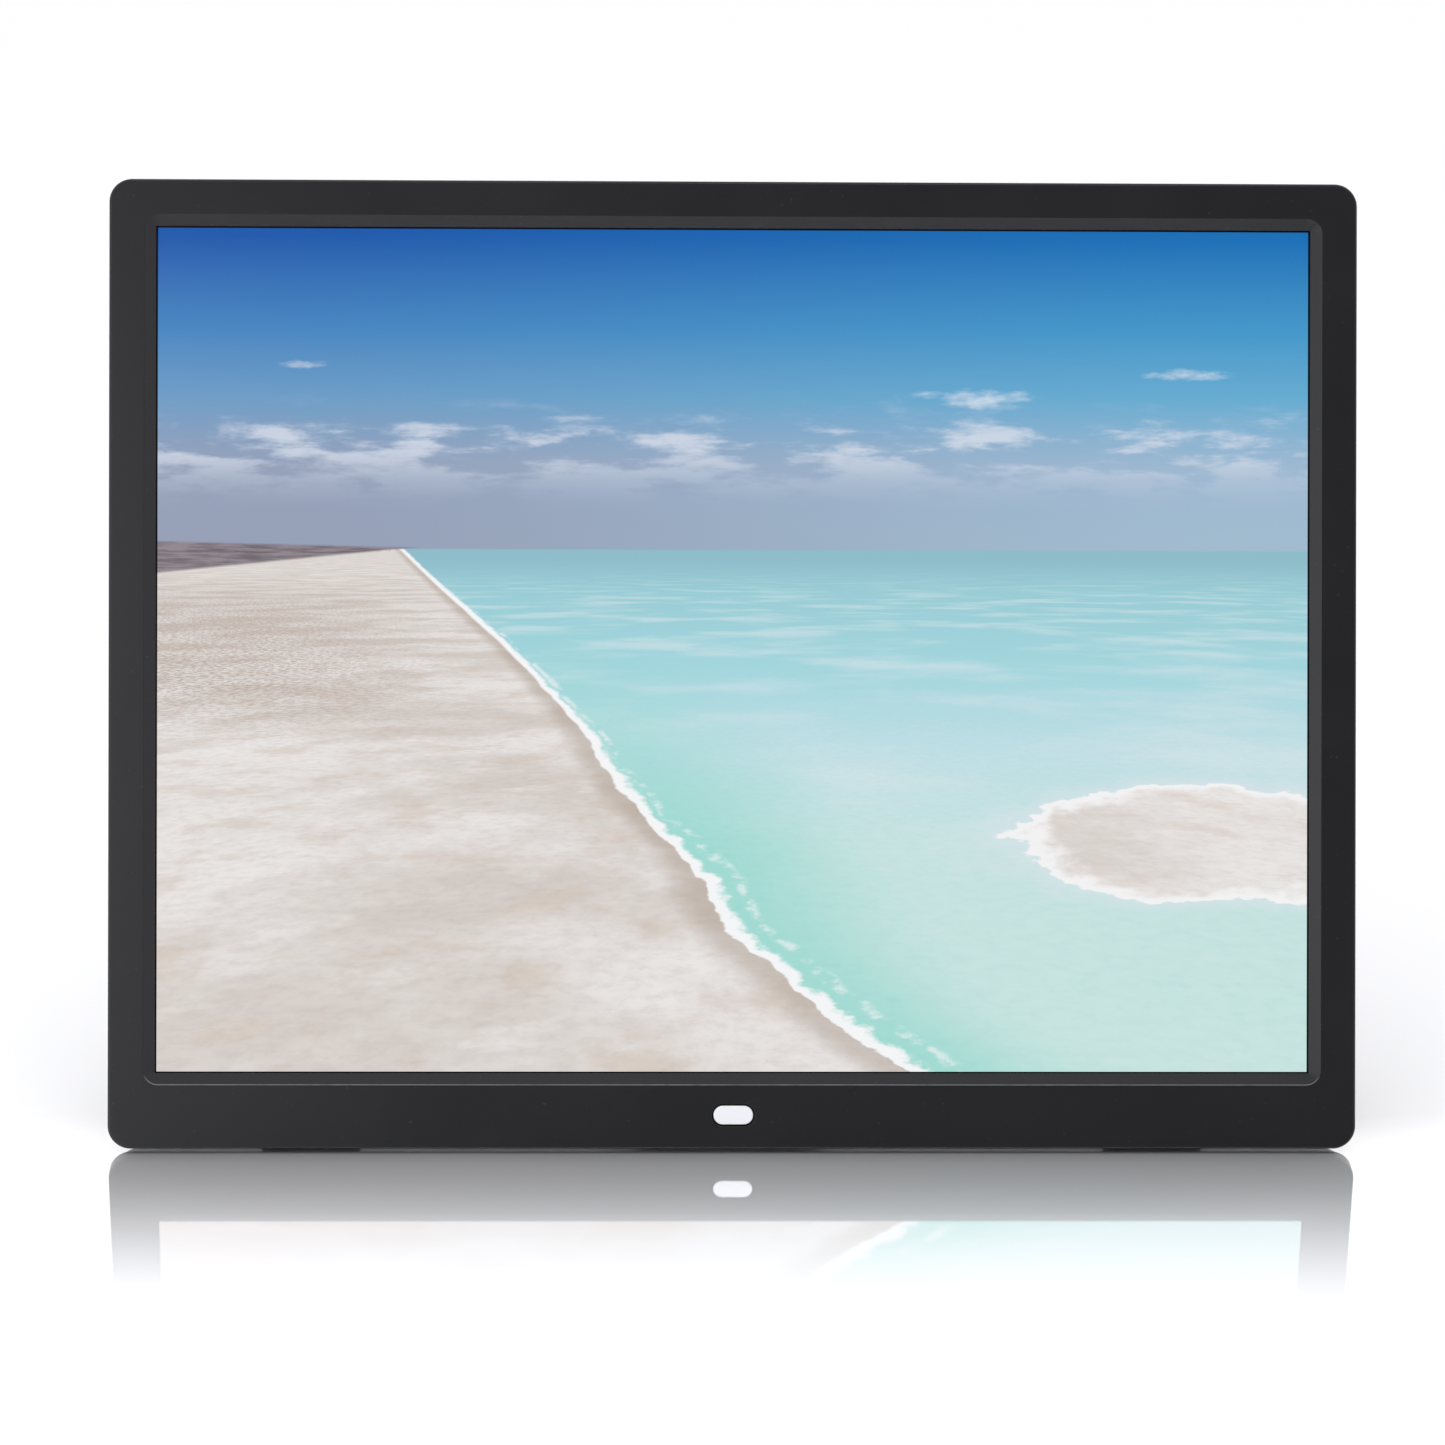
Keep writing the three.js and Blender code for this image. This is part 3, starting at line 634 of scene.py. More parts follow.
def picture_sky(shader, u, v):
    sky = shader.mix(u.step(0.0, 1.0), shader.ramp(v, SKY_LEFT), shader.ramp(v, SKY_RIGHT))
    drift = shader.noise(5.0, 6, 0.58, at=shader.join(u * 2.4, v * 7.0, 2.0))
    band = v.step(0.665, 0.735) * v.step(0.735, 0.815, 1.0, 0.0)
    bank = (drift + (v - 0.74) * -1.4).step(0.44, 0.62) * band
    sky = shader.mix(bank * 0.6, sky, linear(196, 207, 224))
    crest = v.step(0.70, 0.75) * v.step(0.76, 0.80, 1.0, 0.0)
    tops = (drift + (v - 0.75) * -2.0).step(0.50, 0.66) * crest
    sky = shader.mix(tops * 0.5, sky, linear(226, 230, 238))
    curl = shader.noise(12.0, 6, 0.62, at=shader.join(u * 1.8, v * 4.0, 7.0)) - 0.5
    for oval in ((0.71, 0.80, 0.06, 0.013), (0.90, 0.83, 0.035, 0.009), (0.13, 0.84, 0.03, 0.006)):
        cloud = (blob(u, v, *oval) + curl * 5.0).step(-0.8, 1.0, 0.75, 0.0)
        sky = shader.mix(cloud, sky, linear(226, 231, 240))
    return sky


def on_ground(shader, u, v, reach=1.0):
    """Picture coordinates laid on a level ground that runs to the horizon."""
    nearness = (v * -1.0 + HORIZON).higher(0.004)
    return shader.join((u - 0.5) * reach / nearness, (nearness ** -1.0) * reach)


def picture_sand(shader, u, v, across, depth):
    broad = shader.noise(0.9, 5, 0.6, at=on_ground(shader, u, v))
    drift = shader.noise(3.2, 6, 0.62, at=on_ground(shader, u, v, 1.3))
    fine = shader.noise(16.0, 6, 0.7, at=on_ground(shader, u, v, 1.7))
    sand = shader.mix(broad.step(0.38, 0.60), linear(210, 202, 196), linear(230, 227, 225))
    sand = shader.mix(drift.step(0.50, 0.66) * 0.5, sand, linear(208, 193, 180))
    sand = shader.mix(drift.step(0.30, 0.46, 1.0, 0.0) * 0.5, sand, linear(236, 233, 231))
    scrub = fine.step(0.43, 0.58) * depth.step(0.03, 0.12) * depth.step(0.22, 0.40, 1.0, 0.0)
    sand = shader.mix(scrub * u.step(0.08, 0.30, 0.8, 0.0), sand, linear(168, 148, 136))
    sand = shader.mix(fine.step(0.40, 0.70) * 0.22, sand, linear(176, 162, 152))
    damp = (across / (depth * 0.05 + 0.008)).step(-1.0, -0.2) * 0.6
    return shader.mix(damp, sand, linear(178, 164, 151))


def picture_sea(shader, u, v, across, depth):
    sea = shader.ramp(v, SEA)
    pale = shader.noise(0.7, 4, 0.55, at=on_ground(shader, u, v, 1.1))
    close = depth.step(0.02, 0.12)
    sea = shader.mix(pale.step(0.44, 0.68) * close * 0.55, sea, linear(214, 228, 231))
    shallows = across.step(0.01, 0.20, 1.0, 0.0) * depth.step(0.05, 0.6)
    sea = shader.mix(shallows * 0.7, sea, linear(138, 214, 202))
    ripple = shader.noise(26.0, 4, 0.7, at=on_ground(shader, u, v))
    return shader.mix(ripple.step(0.35, 0.75) * close * 0.12, sea, linear(120, 190, 200))


def picture(shader, u, v):
    """A quiet seaside: blue sky, a cloud bank, pale sand on the left and turquoise water."""
    wander = shader.noise(7.0, 4, 0.6, at=shader.join(u * 0.7, v, 0.5)) - 0.5
    ragged = shader.noise(40.0, 5, 0.65, at=shader.join(u, v * 1.6, 6.0)) - 0.5
    depth = ((v * -1.0 + HORIZON) / HORIZON).higher(0.0)
    bay = (depth * 6.0 + 0.4).sine() * depth * 0.04
    shore = depth * 0.44 + bay + 0.21
    across = u - shore + wander * depth.step(0.0, 0.5) * 0.06 + ragged * depth * 0.02
    sand = picture_sand(shader, u, v, across, depth)
    scene = picture_sea(shader, u, v, across, depth)

    bank = blob(u, v, 0.97, 0.27, 0.30, 0.065) + wander * 3.2 + ragged * 0.8
    scene = shader.mix(bank.step(0.9, 1.7, 0.6, 0.0), scene, linear(216, 226, 232))
    scene = shader.mix(bank.step(0.92, 1.0, 1.0, 0.0), scene, linear(242, 241, 242))
    dry = picture_sand(shader, u, v, bank - 2.0, depth)
    scene = shader.mix(bank.step(0.5, 0.85, 0.85, 0.0), scene, dry)

    foam_width = depth * 0.016 + 0.004
    foam = (across / foam_width + ragged * 1.5).step(0.6, 1.2, 1.0, 0.0)
    scene = shader.mix(foam, scene, linear(243, 244, 245))
    swash = ((across - depth * 0.05) / foam_width + wander * 3.0).size().step(0.1, 0.6, 1.0, 0.0)
    scene = shader.mix(swash * ragged.step(-0.05, 0.1) * 0.6, scene, linear(236, 241, 242))
    scene = shader.mix(across.step(-0.002, 0.001, 1.0, 0.0), scene, sand)

    headland = (u * -0.03 + 0.629 - v).lower(v - u * 0.14 - 0.590).step(-0.001, 0.003)
    scrub = shader.noise(30.0, 4, 0.6, at=shader.join(u, v * 9.0, 3.5))
    land = shader.mix(scrub.step(0.35, 0.65), linear(110, 100, 108), linear(144, 134, 142))
    scene = shader.mix(v.step(HORIZON - 0.001, HORIZON + 0.001), scene, picture_sky(shader, u, v))
    return shader.mix(headland, scene, land)


def screen_glass():
    """Matt panel: black border, then the lit picture."""
    shader = Shader("screen_glass", {"Roughness": 0.24, "IOR": 1.28, "Emission Strength": 1.0})
    inset = SIDE_BORDER + SLOPE_WIDTH + PICTURE_MARGIN
    lower = BOTTOM_BORDER + SLOPE_WIDTH + PICTURE_MARGIN
    corner = HOUSING.place((inset - WIDTH / 2, 0, lower))
    wide = WIDTH - 2 * inset
    high = HEIGHT - inset - lower
    u = shader.along(HOUSING.across, corner, wide * MM)
    v = shader.along(HOUSING.up, corner, high * MM)
    edge = (u.lower(u * -1.0 + 1.0) * wide).lower(v.lower(v * -1.0 + 1.0) * high)
    shader.drive("Emission Color", shader.mix(edge.step(0.0, 0.12), (0, 0, 0, 1), picture(shader, u, v)))
    haze = shader.noise(3000, 1, 0.5)
    tone = shader.mix(haze, (0.004, 0.004, 0.005, 1), (0.007, 0.007, 0.008, 1))
    return shader.finished(tone, None, haze, 0.00001, 0.1)


# --- camera, floor and light
CAMERA_DISTANCE = 1.323
CAMERA_FOCAL_IN_FRAMES = 3.46
CAMERA_YAW = math.radians(1.38)
CAMERA_PITCH = math.radians(0.03)
CAMERA_ROLL = math.radians(-0.116)
OBJECT_RIGHT_OF_AXIS = 0.0031
OBJECT_ABOVE_AXIS = 0.0152
SENSOR_WIDTH = 36

FLOOR_HALF_SIZE = 14
FLOOR_POLISH = 0.74
FLOOR_POLISH_REACH = 0.15
FLOOR_POLISH_END = 0.04

SIDE_LEVEL = 1.12
FRONT_LEVEL = 0.15


def make_camera():
    """Looks square at the leaning face, a little from its left."""
    turn = (Matrix.Rotation(CAMERA_ROLL, 3, "Z") @ Matrix.Rotation(-CAMERA_YAW, 3, "Y")
            @ Matrix.Rotation(CAMERA_PITCH, 3, "X"))
    axes = (HOUSING.across, HOUSING.up, HOUSING.back)
    right, up, forward = (
        sum((axis * part for axis, part in zip(axes, row)), Vector()) for row in turn
    )
    data = bpy.data.cameras.new("camera")
    data.sensor_width = SENSOR_WIDTH
    data.lens = SENSOR_WIDTH * CAMERA_FOCAL_IN_FRAMES
    data.clip_start = 0.05
    data.clip_end = 60
    camera = add_object("camera", data)
    middle = HOUSING.place((0, 0, HEIGHT / 2))
    away = right * OBJECT_RIGHT_OF_AXIS + up * OBJECT_ABOVE_AXIS + forward * CAMERA_DISTANCE
    basis = Matrix((right, up, -forward)).transposed().to_4x4()
    camera.matrix_world = Matrix.Translation(middle - away) @ basis
    bpy.context.scene.camera = camera


def make_floor():
    """White table, polished in front of the object and matt further out and behind."""
    half = FLOOR_HALF_SIZE
    mesh = bpy.data.meshes.new("floor")
    mesh.from_pydata([(-half, -half, 0), (half, -half, 0), (half, half, 0), (-half, half, 0)],
                     [], [(0, 1, 2, 3)])
    shader = Shader("floor", {"Base Color": (0.955, 0.955, 0.985, 1), "Roughness": 1.0,
                              "Specular IOR Level": 0.0})
    low, high = cad_bounds
    middle = (low + high) / 2
    beside = shader.along((1, 0, 0), middle, 1.0).size() - (high.x - low.x) / 2
    before = shader.along((0, 1, 0), middle, 1.0).size() - (high.y - low.y) / 2
    behind = shader.along((0, 1, 0), low, 1.0)
    near = beside.higher(before).higher(0.0).step(0.0, FLOOR_POLISH_REACH, FLOOR_POLISH, 0.0)
    polish = near * behind.step(0.0, FLOOR_POLISH_END, 1.0, 0.0)
    gloss = add_node(shader.tree, "BsdfGlossy", {"Roughness": 0.04, "Color": (1, 1, 1, 1)})
    inputs = {0: polish, 1: shader.main.outputs[0], 2: gloss.outputs[0]}
    blend = add_node(shader.tree, "MixShader", inputs)
    feed(shader.tree, shader.tree.nodes["Material Output"].inputs["Surface"], blend.outputs[0])
    mesh.materials.append(shader.material)
    add_object("floor", mesh)


def softbox(name, direction, distance, width, height, power):
    """Area light that faces the object's middle from a direction."""
    data = bpy.data.lights.new(name, "AREA")
    data.shape = "RECTANGLE"
    data.size = width
    data.size_y = height
    data.energy = power
    light = add_object(name, data)
    middle = HOUSING.place((0, 0, HEIGHT / 2))
    light.location = middle + direction.normalized() * distance
    light.rotation_mode = "QUATERNION"
    light.rotation_quaternion = (middle - light.location).to_track_quat("-Z", "Y")


def make_light():
    """White studio that is dimmer in front of the object, and two softboxes."""
    world = bpy.data.worlds.new("studio")
    world.use_nodes = True
    nodes = Nodes(world.node_tree)
    ahead = nodes.along(-HOUSING.back, (0, 0, 0), 1.0, of=nodes.coordinates("Generated"))
    background = world.node_tree.nodes["Background"]
    background.inputs["Color"].default_value = (1, 1, 1, 1)
    feed(world.node_tree, background.inputs["Strength"], ahead.step(0.72, 0.94, SIDE_LEVEL, FRONT_LEVEL))
    bpy.context.scene.world = world
    across, back, up = HOUSING.across, HOUSING.back, HOUSING.up
    above = up * 0.59 - back * 0.81
    softbox("top_strip", above, distance=1.3, width=0.7, height=0.06, power=2.5)
    left = back * -0.80 - across * 0.60 - up * 0.04
    softbox("left_softbox", left, distance=0.7, width=0.45, height=0.45, power=1.4)
    bpy.context.scene.view_settings.view_transform = "Standard"
    bpy.context.scene.view_settings.look = "None"


# --- front bezel
def housing_outline(inset):
    half = WIDTH / 2 - inset
    return outline(-half, half, inset, HEIGHT - inset, CORNER_RADIUS - inset)


def opening_ring(spread, depth):
    """Edge of the sloping opening, spread outward from its innermost line."""
    radius = OPENING_RADIUS + (SLOPE_RADIUS - OPENING_RADIUS) * spread / SLOPE_WIDTH
    inset = SIDE_BORDER + SLOPE_WIDTH - spread
    half = WIDTH / 2 - inset
    lower = BOTTOM_BORDER + SLOPE_WIDTH - spread
    return ring(outline(-half, half, lower, HEIGHT - inset, radius), depth)


def window_outline(grow):
    _, z = middle_of("ir_window")
    height = WINDOW_HEIGHT + 2 * grow
    return around(0, z, WINDOW_WIDTH + 2 * grow, height, height / 2 - 0.01, 10)


def screw_bosses():
    """Bosses that stand from the bezel's inner face, and the pilot holes down them."""
    root = FACE_THICKNESS
    tip = RIM_BACK - WALL - GAP
    wide = PILOT_RADIUS + 0.3
    boss = ((BOSS_RADIUS, root - GAP), (BOSS_RADIUS, tip - 0.2), (BOSS_RADIUS - 0.2, tip))
    pilot = ((PILOT_RADIUS, root), (PILOT_RADIUS, tip - 0.3), (wide, tip), (wide, tip + 1))
    return [[turned(*middle_of(node), profile) for node in COVER_SCREWS] for profile in (boss, pilot)]


def build_bezel():
    outer_round = 0.7
    inner_round = 0.4
    crease_round = 0.3
    steps = 4
    fall = math.atan2(SLOPE_DEPTH, SLOPE_WIDTH)
    rings = [ring(housing_outline(inset), drop) for inset, drop in fillet(outer_round, 6)]
    for step in range(steps + 1):
        angle = fall * step / steps
        spread = SLOPE_WIDTH + crease_round * (math.tan(fall / 2) - math.sin(angle))
        rings.append(opening_ring(spread, crease_round * (1 - math.cos(angle))))
    for spread, depth in ((0.15, SLOPE_DEPTH - 0.1), (0, SLOPE_DEPTH), (0, FACE_THICKNESS)):
        rings.append(opening_ring(spread, depth))
    rings += [ring(housing_outline(WALL), depth) for depth in (FACE_THICKNESS, BEZEL_DEPTH)]
    for inset, drop in reversed(fillet(inner_round, 3)):
        rings.append(ring(housing_outline(inset), BEZEL_DEPTH - drop))
    bezel = build("front_bezel_shell", rings, loop=True)
    split_across = (-120, -60, -9, 9, 60, 120)
    split_up = (4, 9.5, 14.6)
    score(bezel, split_across, split_up)
    bosses, pilots = screw_bosses()
    join(bezel, *bosses)
    cut(bezel, *pilots)
    hole = flared(lambda grow: window_outline(WINDOW_CLEARANCE + grow), FACE_THICKNESS + 1, 0, 0.15, 3)
    cut(bezel, hole)
    settle(bezel, "housing_plastic", "front_bezel")


# --- rear cover
def rim_ring(depth, further_in=0.0):
    """The rim's tapering outline at a depth, moved further in by a wall or a round."""
    share = (depth - RIM_FRONT) / (RIM_BACK - RIM_FRONT)
    inset = RIM_FRONT_INSET + (RIM_BACK_INSET - RIM_FRONT_INSET) * share + further_in
    half = WIDTH / 2 - inset
    return ring(outline(-half, half, inset, HEIGHT - inset, CORNER_RADIUS), depth)


def box_ring(depth, inset=0.0):
    half = BOX_HALF_WIDTH - inset
    return ring(outline(-half, half, BOX_BOTTOM + inset, BOX_TOP - inset, BOX_RADIUS - inset), depth)


def cover_shell():
    """One wall, lofted from its inner floor, round the rim, to its outer back."""
    rim_round = 1.2
    foot_round = 1.0
    back_round = 2.4
    rings = [
        box_ring(BOX_BACK - WALL, WALL),
        box_ring(RIM_BACK - WALL, WALL),
        rim_ring(RIM_BACK - WALL, WALL),
        rim_ring(RIM_FRONT, WALL),
        rim_ring(RIM_FRONT, GAP),
        rim_ring(RIM_FRONT + GAP),
    ]
    rings += [rim_ring(RIM_BACK - drop, inset) for inset, drop in fillet(rim_round)]
    rings += [box_ring(RIM_BACK + inset, -drop) for inset, drop in reversed(fillet(foot_round))]
    rings += [box_ring(BOX_BACK - drop, inset) for inset, drop in fillet(back_round, 7)]
    return build("rear_cover_shell", rings)


def pocket_walls():
    """Wall round the leg's pocket, and a cheek on each side that holds the pin."""
    outer = POCKET_HALF_WIDTH + WALL
    front = POCKET_FLOOR - WALL
    back = BOX_BACK - 1
    yield block(-outer, outer, front, back, BOX_BOTTOM + 1, POCKET_TOP + WALL)
    for side in (-1, 1):
        near, far = sorted((side * (POCKET_HALF_WIDTH + 1), side * (POCKET_HALF_WIDTH + CHEEK_WIDTH)))
        yield block(near, far, front, back, POCKET_TOP - CHEEK_HEIGHT, POCKET_TOP)


def pocket_cut():
    def pocket(grow):
        half = POCKET_HALF_WIDTH + grow
        return outline(-half, half, BOX_BOTTOM - 6, POCKET_TOP + grow, 1.5 + grow, 6)

    return flared(pocket, POCKET_FLOOR, BOX_BACK, 0.8)


def keyhole(x):
    """Round entry with a narrow slot rising out of it."""
    def shape(grow):
        entry = HANG_ENTRY_RADIUS + grow
        slot = HANG_SLOT_HALF_WIDTH + grow
        start = math.pi / 2 + math.asin(slot / entry)
        round_entry = arc(x, HANG_Z, entry, start, 3 * math.pi - start, 28)
        return round_entry + arc(x, HANG_Z + HANG_SLOT_RISE, slot, 0, math.pi, 10)

    return shape


def back_cuts():
    """Holes through the box's back, and the counterbores for the cover screws."""
    inside = BOX_BACK - WALL - 1
    cuts = [flared(keyhole(x), inside, BOX_BACK, 0.4) for x in (-HANG_X, HANG_X)]
    holes = []
    for x0, x1, z in SLOT_ROWS:
        for row in range(SLOTS_PER_ROW):
            low = z + row * SLOT_PITCH
            holes.append(growing(x0, x1, low, low + SLOT_HEIGHT, SLOT_HEIGHT / 2 - 0.01, 5, 1))
    width = KEY_WIDTH + KEY_HOLE_MARGIN
    height = KEY_HEIGHT + KEY_HOLE_MARGIN
    for name in KEY_NAMES:
        holes.append(growing_around(*middle_of("key_" + name), width, height, 2, 6, 1))
    cuts += [flared(hole, inside, BOX_BACK, 0.35) for hole in holes]
    for node in COVER_SCREWS:
        seat = growing_circle(*middle_of(node), SCREW_SEAT_RADIUS)
        cuts.append(flared(seat, RIM_BACK - SCREW_SEAT_DEPTH, RIM_BACK, 0.25))
    return cuts


def side_cuts():
    """Socket mouths in the +X wall and the switch slot in the -X wall."""
    cuts = []
    inside = BOX_HALF_WIDTH - WALL - 1
    for name in SOCKET_NAMES:
        low, high = HOUSING.box(name)
        mouth = growing_face(low, high, 0.3, 0.9, 5)
        cuts.append(flared(mouth, inside, BOX_HALF_WIDTH, 0.35, plane=side_ring))
    low, high = HOUSING.box("power_switch_knob")
    low.z += JOINTS["power_switch_slide"]["range_m"][0] / MM
    slot = growing_face(low, high, 0.4, 0.6, 5)
    cuts.append(flared(slot, -inside, -BOX_HALF_WIDTH, 0.3, plane=side_ring))
    return cuts


def screw_holes():
    profile = ((PILOT_RADIUS, RIM_BACK - WALL - 1), (PILOT_RADIUS, RIM_BACK - 1))
    return [turned(*middle_of(node), profile) for node in COVER_SCREWS]


def build_cover():
    cover = cover_shell()
    splits = 14
    split_pitch = 19
    split_across = [(step - (splits - 1) / 2) * split_pitch for step in range(splits)]
    under_slot = (SLOT_PITCH - SLOT_HEIGHT) / 2
    split_up = [8, 60, 90, 120, 150, 197, 209, 248]
    for z in sorted({row[2] for row in SLOT_ROWS}):
        split_up += [z + SLOT_PITCH * row - under_slot for row in range(SLOTS_PER_ROW + 1)]
    score(cover, split_across, split_up)
    for wall in pocket_walls():
        join(cover, wall)
    cut(cover, pocket_cut())
    bore_half = POCKET_HALF_WIDTH + CHEEK_WIDTH - 1.4
    bore = ((BORE_RADIUS, -bore_half), (BORE_RADIUS, bore_half))
    cut(cover, turned(PIVOT_Y, PIVOT_Z, bore, side_ring, 32))
    for cuts in (back_cuts(), side_cuts(), screw_holes()):
        cut(cover, *cuts)
    settle(cover, "housing_plastic", "rear_cover")


# --- indicator window and screen
def build_window():
    low, high = HOUSING.box("ir_window")
    shoulder = FACE_THICKNESS + GAP
    flange = around(0, (low.z + high.z) / 2, high.x - low.x, high.z - low.z, 2, 10)
    rings = [ring(window_outline(-inset), low.y + drop) for inset, drop in reversed(fillet(0.35))]
    rings += [ring(window_outline(0), shoulder), ring(flange, shoulder), ring(flange, high.y)]
    settle(build("window_lens", rings), "window_plastic", "ir_window")


def build_screen():
    low, high = HOUSING.box("lcd_cell")
    rings = soft_slab(growing(low.x, high.x, low.z, high.z, 0.6, 3), low.y, high.y, 0.15, 2)
    settle(build("picture_screen", rings), "screen_glass", "lcd_cell")


# --- folding leg
def leg_outline(grow, foot_z):
    """Plate that narrows to a rounded foot, level with the pivot at the top."""
    radius = 3.0 + grow
    top = LEG_TOP_WIDTH / 2 + grow
    foot = LEG_FOOT_WIDTH / 2 + grow
    points = [(top, -0.2), (-top, -0.2)]
    for quarter, x in ((2, radius - foot), (3, foot - radius)):
        points += quarter_arc(x, foot_z - grow + radius, radius, quarter, 8)
    return points


def build_leg():
    low, _ = LEG.box("stand_leg")
    half = LEG_HALF_THICKNESS
    middle = low.z / 2
    reach = LEG_TOP_WIDTH / 2
    plate = soft_slab(lambda grow: leg_outline(grow, low.z), -half, half, 0.7)
    leg = build("leg_plate", plate, stance=LEG)
    split_across = (-26, -14, -8, -4, 4, 8, 14, 26)
    split_up = [-8, middle, low.z + 20, low.z + 8]
    split_up += [middle + side * place for side in (-1, 1) for place in (47.5, 52)]
    score(leg, split_across, split_up, LEG)
    barrel = soft_slab(growing_circle(0, 0, LEG_BARREL_RADIUS, 36), -reach, reach, 0.4, 3, side_ring)
    join(leg, barrel, stance=LEG)
    heel = growing_around(0, LEG_HEEL_LENGTH / 2, LEG_HEEL_WIDTH, LEG_HEEL_LENGTH, 0.8, 4)
    heel_half = 1.4
    join(leg, soft_slab(heel, -heel_half, heel_half, 0.3, 3), stance=LEG)
    bore_half = reach + 7
    bore = ((BORE_RADIUS, -bore_half), (BORE_RADIUS, bore_half))
    cut(leg, turned(0, 0, bore, side_ring, 32), stance=LEG)
    recess = growing_around(0, middle, LEG_RECESS_WIDTH, LEG_RECESS_LENGTH, 8, 8, 1)
    finger = growing_around(0, low.z + 14, 22, 7, 3.5, 8, 1)
    cut(leg, flared(recess, half - 1.2, half, 0.5), flared(finger, half - 1.0, half, 0.5), stance=LEG)
    rib_width = 1.6
    rib_length = 94
    rib_pitch = 10
    rib = ((0.5, half - 1.4), (0.1, half - 1), (0, half - 0.35), (-0.3, half - 0.2))
    join(leg, *([ring(around(x, middle, rib_width + flare, rib_length + flare, 0.6, 4), y)
                 for flare, y in rib] for x in (-rib_pitch, 0, rib_pitch)), stance=LEG)
    settle(leg, "housing_plastic", "stand_leg", body="stand")


def build_foot_pad():
    """Rubber wedge whose sole lies flat on the table at rest, with grooves across it."""
    low, high = LEG.box("stand_foot_pad")
    half = LEG_HALF_THICKNESS
    grooves = 3
    steps = 4 * grooves + 2
    profile = [(half, high.z), (-half, high.z)]
    for step in range(steps + 1):
        y = half * (2 * step / steps - 1)
        floor = -(LEG.origin.z / MM + y * LEG.back.z) / LEG.up.z
        lift = 0.3 if step % 4 in (0, 3) and 0 < step < steps else 0.0
        profile.append((y, floor + lift))
    pad = build("leg_pad", [side_ring(profile, low.x), side_ring(profile, high.x)], stance=LEG)
    soften(pad, 0.08)
    settle(pad, "rubber", "stand_foot_pad", body="stand")


def build_pin():
    low, high = HOUSING.box("stand_hinge_pin")
    shape = growing_circle(PIVOT_Y, PIVOT_Z, (high.y - low.y) / 2, 24)
    pin = build("hinge_pin", soft_slab(shape, low.x, high.x, 0.4, 3, side_ring))
    settle(pin, "sheet_steel", "stand_hinge_pin")


# --- keys and switch
def turned_bar(x, z, length, width, angle):
    """Corners of a thin bar about a centre, turned by an angle."""
    cos, sin = math.cos(angle), math.sin(angle)
    corners = ((1, 1), (-1, 1), (-1, -1), (1, -1))
    return [(x + (a * length * cos - b * width * sin) / 2, z + (a * length * sin + b * width * cos) / 2)
            for a, b in corners]


def key_mark(name, x, z, face):
    """Raised mark on a cap: an arrow, a ring, three bars or a cross."""
    height = 0.1
    if name == "enter":
        outer, inner = circle(x, z, 1.45), circle(x, z, 0.95)
        steps = ((outer, height), (outer, 0), (inner, 0), (inner, height))
        return build("mark_" + name, [ring(points, face - drop) for points, drop in steps], loop=True)
    if name in ARROW_TURNS:
        turns = [math.radians(ARROW_TURNS[name]) + part for part in (0, 2.3, -2.3)]
        shapes = [[(x + 1.5 * math.cos(turn), z + 1.5 * math.sin(turn)) for turn in turns]]
    elif name == "menu":
        shapes = [turned_bar(x, z + row, 3.4, 0.5, 0) for row in (-1.1, 0, 1.1)]
    else:
        bars = ((0, 3.2, 1), (0.71, 1.1, -1), (-0.71, 1.1, -1))
        shapes = [turned_bar(x + off, z - off, size, 0.5, way * math.pi / 4) for off, size, way in bars]
    slabs = [[ring(points, face - height), ring(points, face)] for points in shapes]
    return build("mark_" + name, *slabs)


def build_keys():
    stem_radius = 1.5
    flange_margin = 2.6
    front = BOX_BACK - WALL - 1.6
    back = front + 1
    for name in KEY_NAMES:
        x, z = middle_of("key_" + name)
        low, high = HOUSING.box("key_" + name)
        top = high.y - 0.1
        stem = circle(x, z, stem_radius, 36)
        flange = around(x, z, KEY_WIDTH + flange_margin, KEY_HEIGHT + flange_margin, KEY_RADIUS, 8)
        cap = growing_around(x, z, KEY_WIDTH, KEY_HEIGHT, KEY_RADIUS, 8, 1)
        rings = [ring(stem, low.y), ring(stem, front), ring(flange, front)]
        rings += [ring(flange, back), ring(cap(0), back)]
        rings += [ring(cap(-inset), top - drop) for inset, drop in fillet(0.55)]
        settle(build("cap_" + name, rings), "key_plastic", "key_" + name, body=name + "_key")
        settle(key_mark(name, x, z, high.y), "key_plastic", body=name + "_key", finish="ink")


def build_knob():
    """Sliding knob with five grip ridges across its face."""
    low, high = HOUSING.box("power_switch_knob")
    ridges = 5
    section = [(high.x, low.z), (high.x, high.z)]
    face = low.x + 0.3
    pitch = (high.z - low.z - 0.8) / ridges
    for ridge in reversed(range(ridges)):
        middle = low.z + 0.4 + pitch * (ridge + 0.5)
        for x, share in ((face, 0.4), (low.x, 0.15), (low.x, -0.15), (face, -0.4)):
            section.append((x, middle + pitch * share))
    knob = build("switch_knob", [[(x, y, z) for x, z in section] for y in (low.y, high.y)])
    soften(knob, 0.08)
    settle(knob, "key_plastic", "power_switch_knob", body="power_switch")


# --- screws
def cross_outline(x, z, reach, half):
    points = []
    corners = [(reach, half), (half, half), (half, reach)]
    for _ in range(4):
        points += [(x + across, z + up) for across, up in corners]
        corners = [(-up, across) for across, up in corners]
    return points


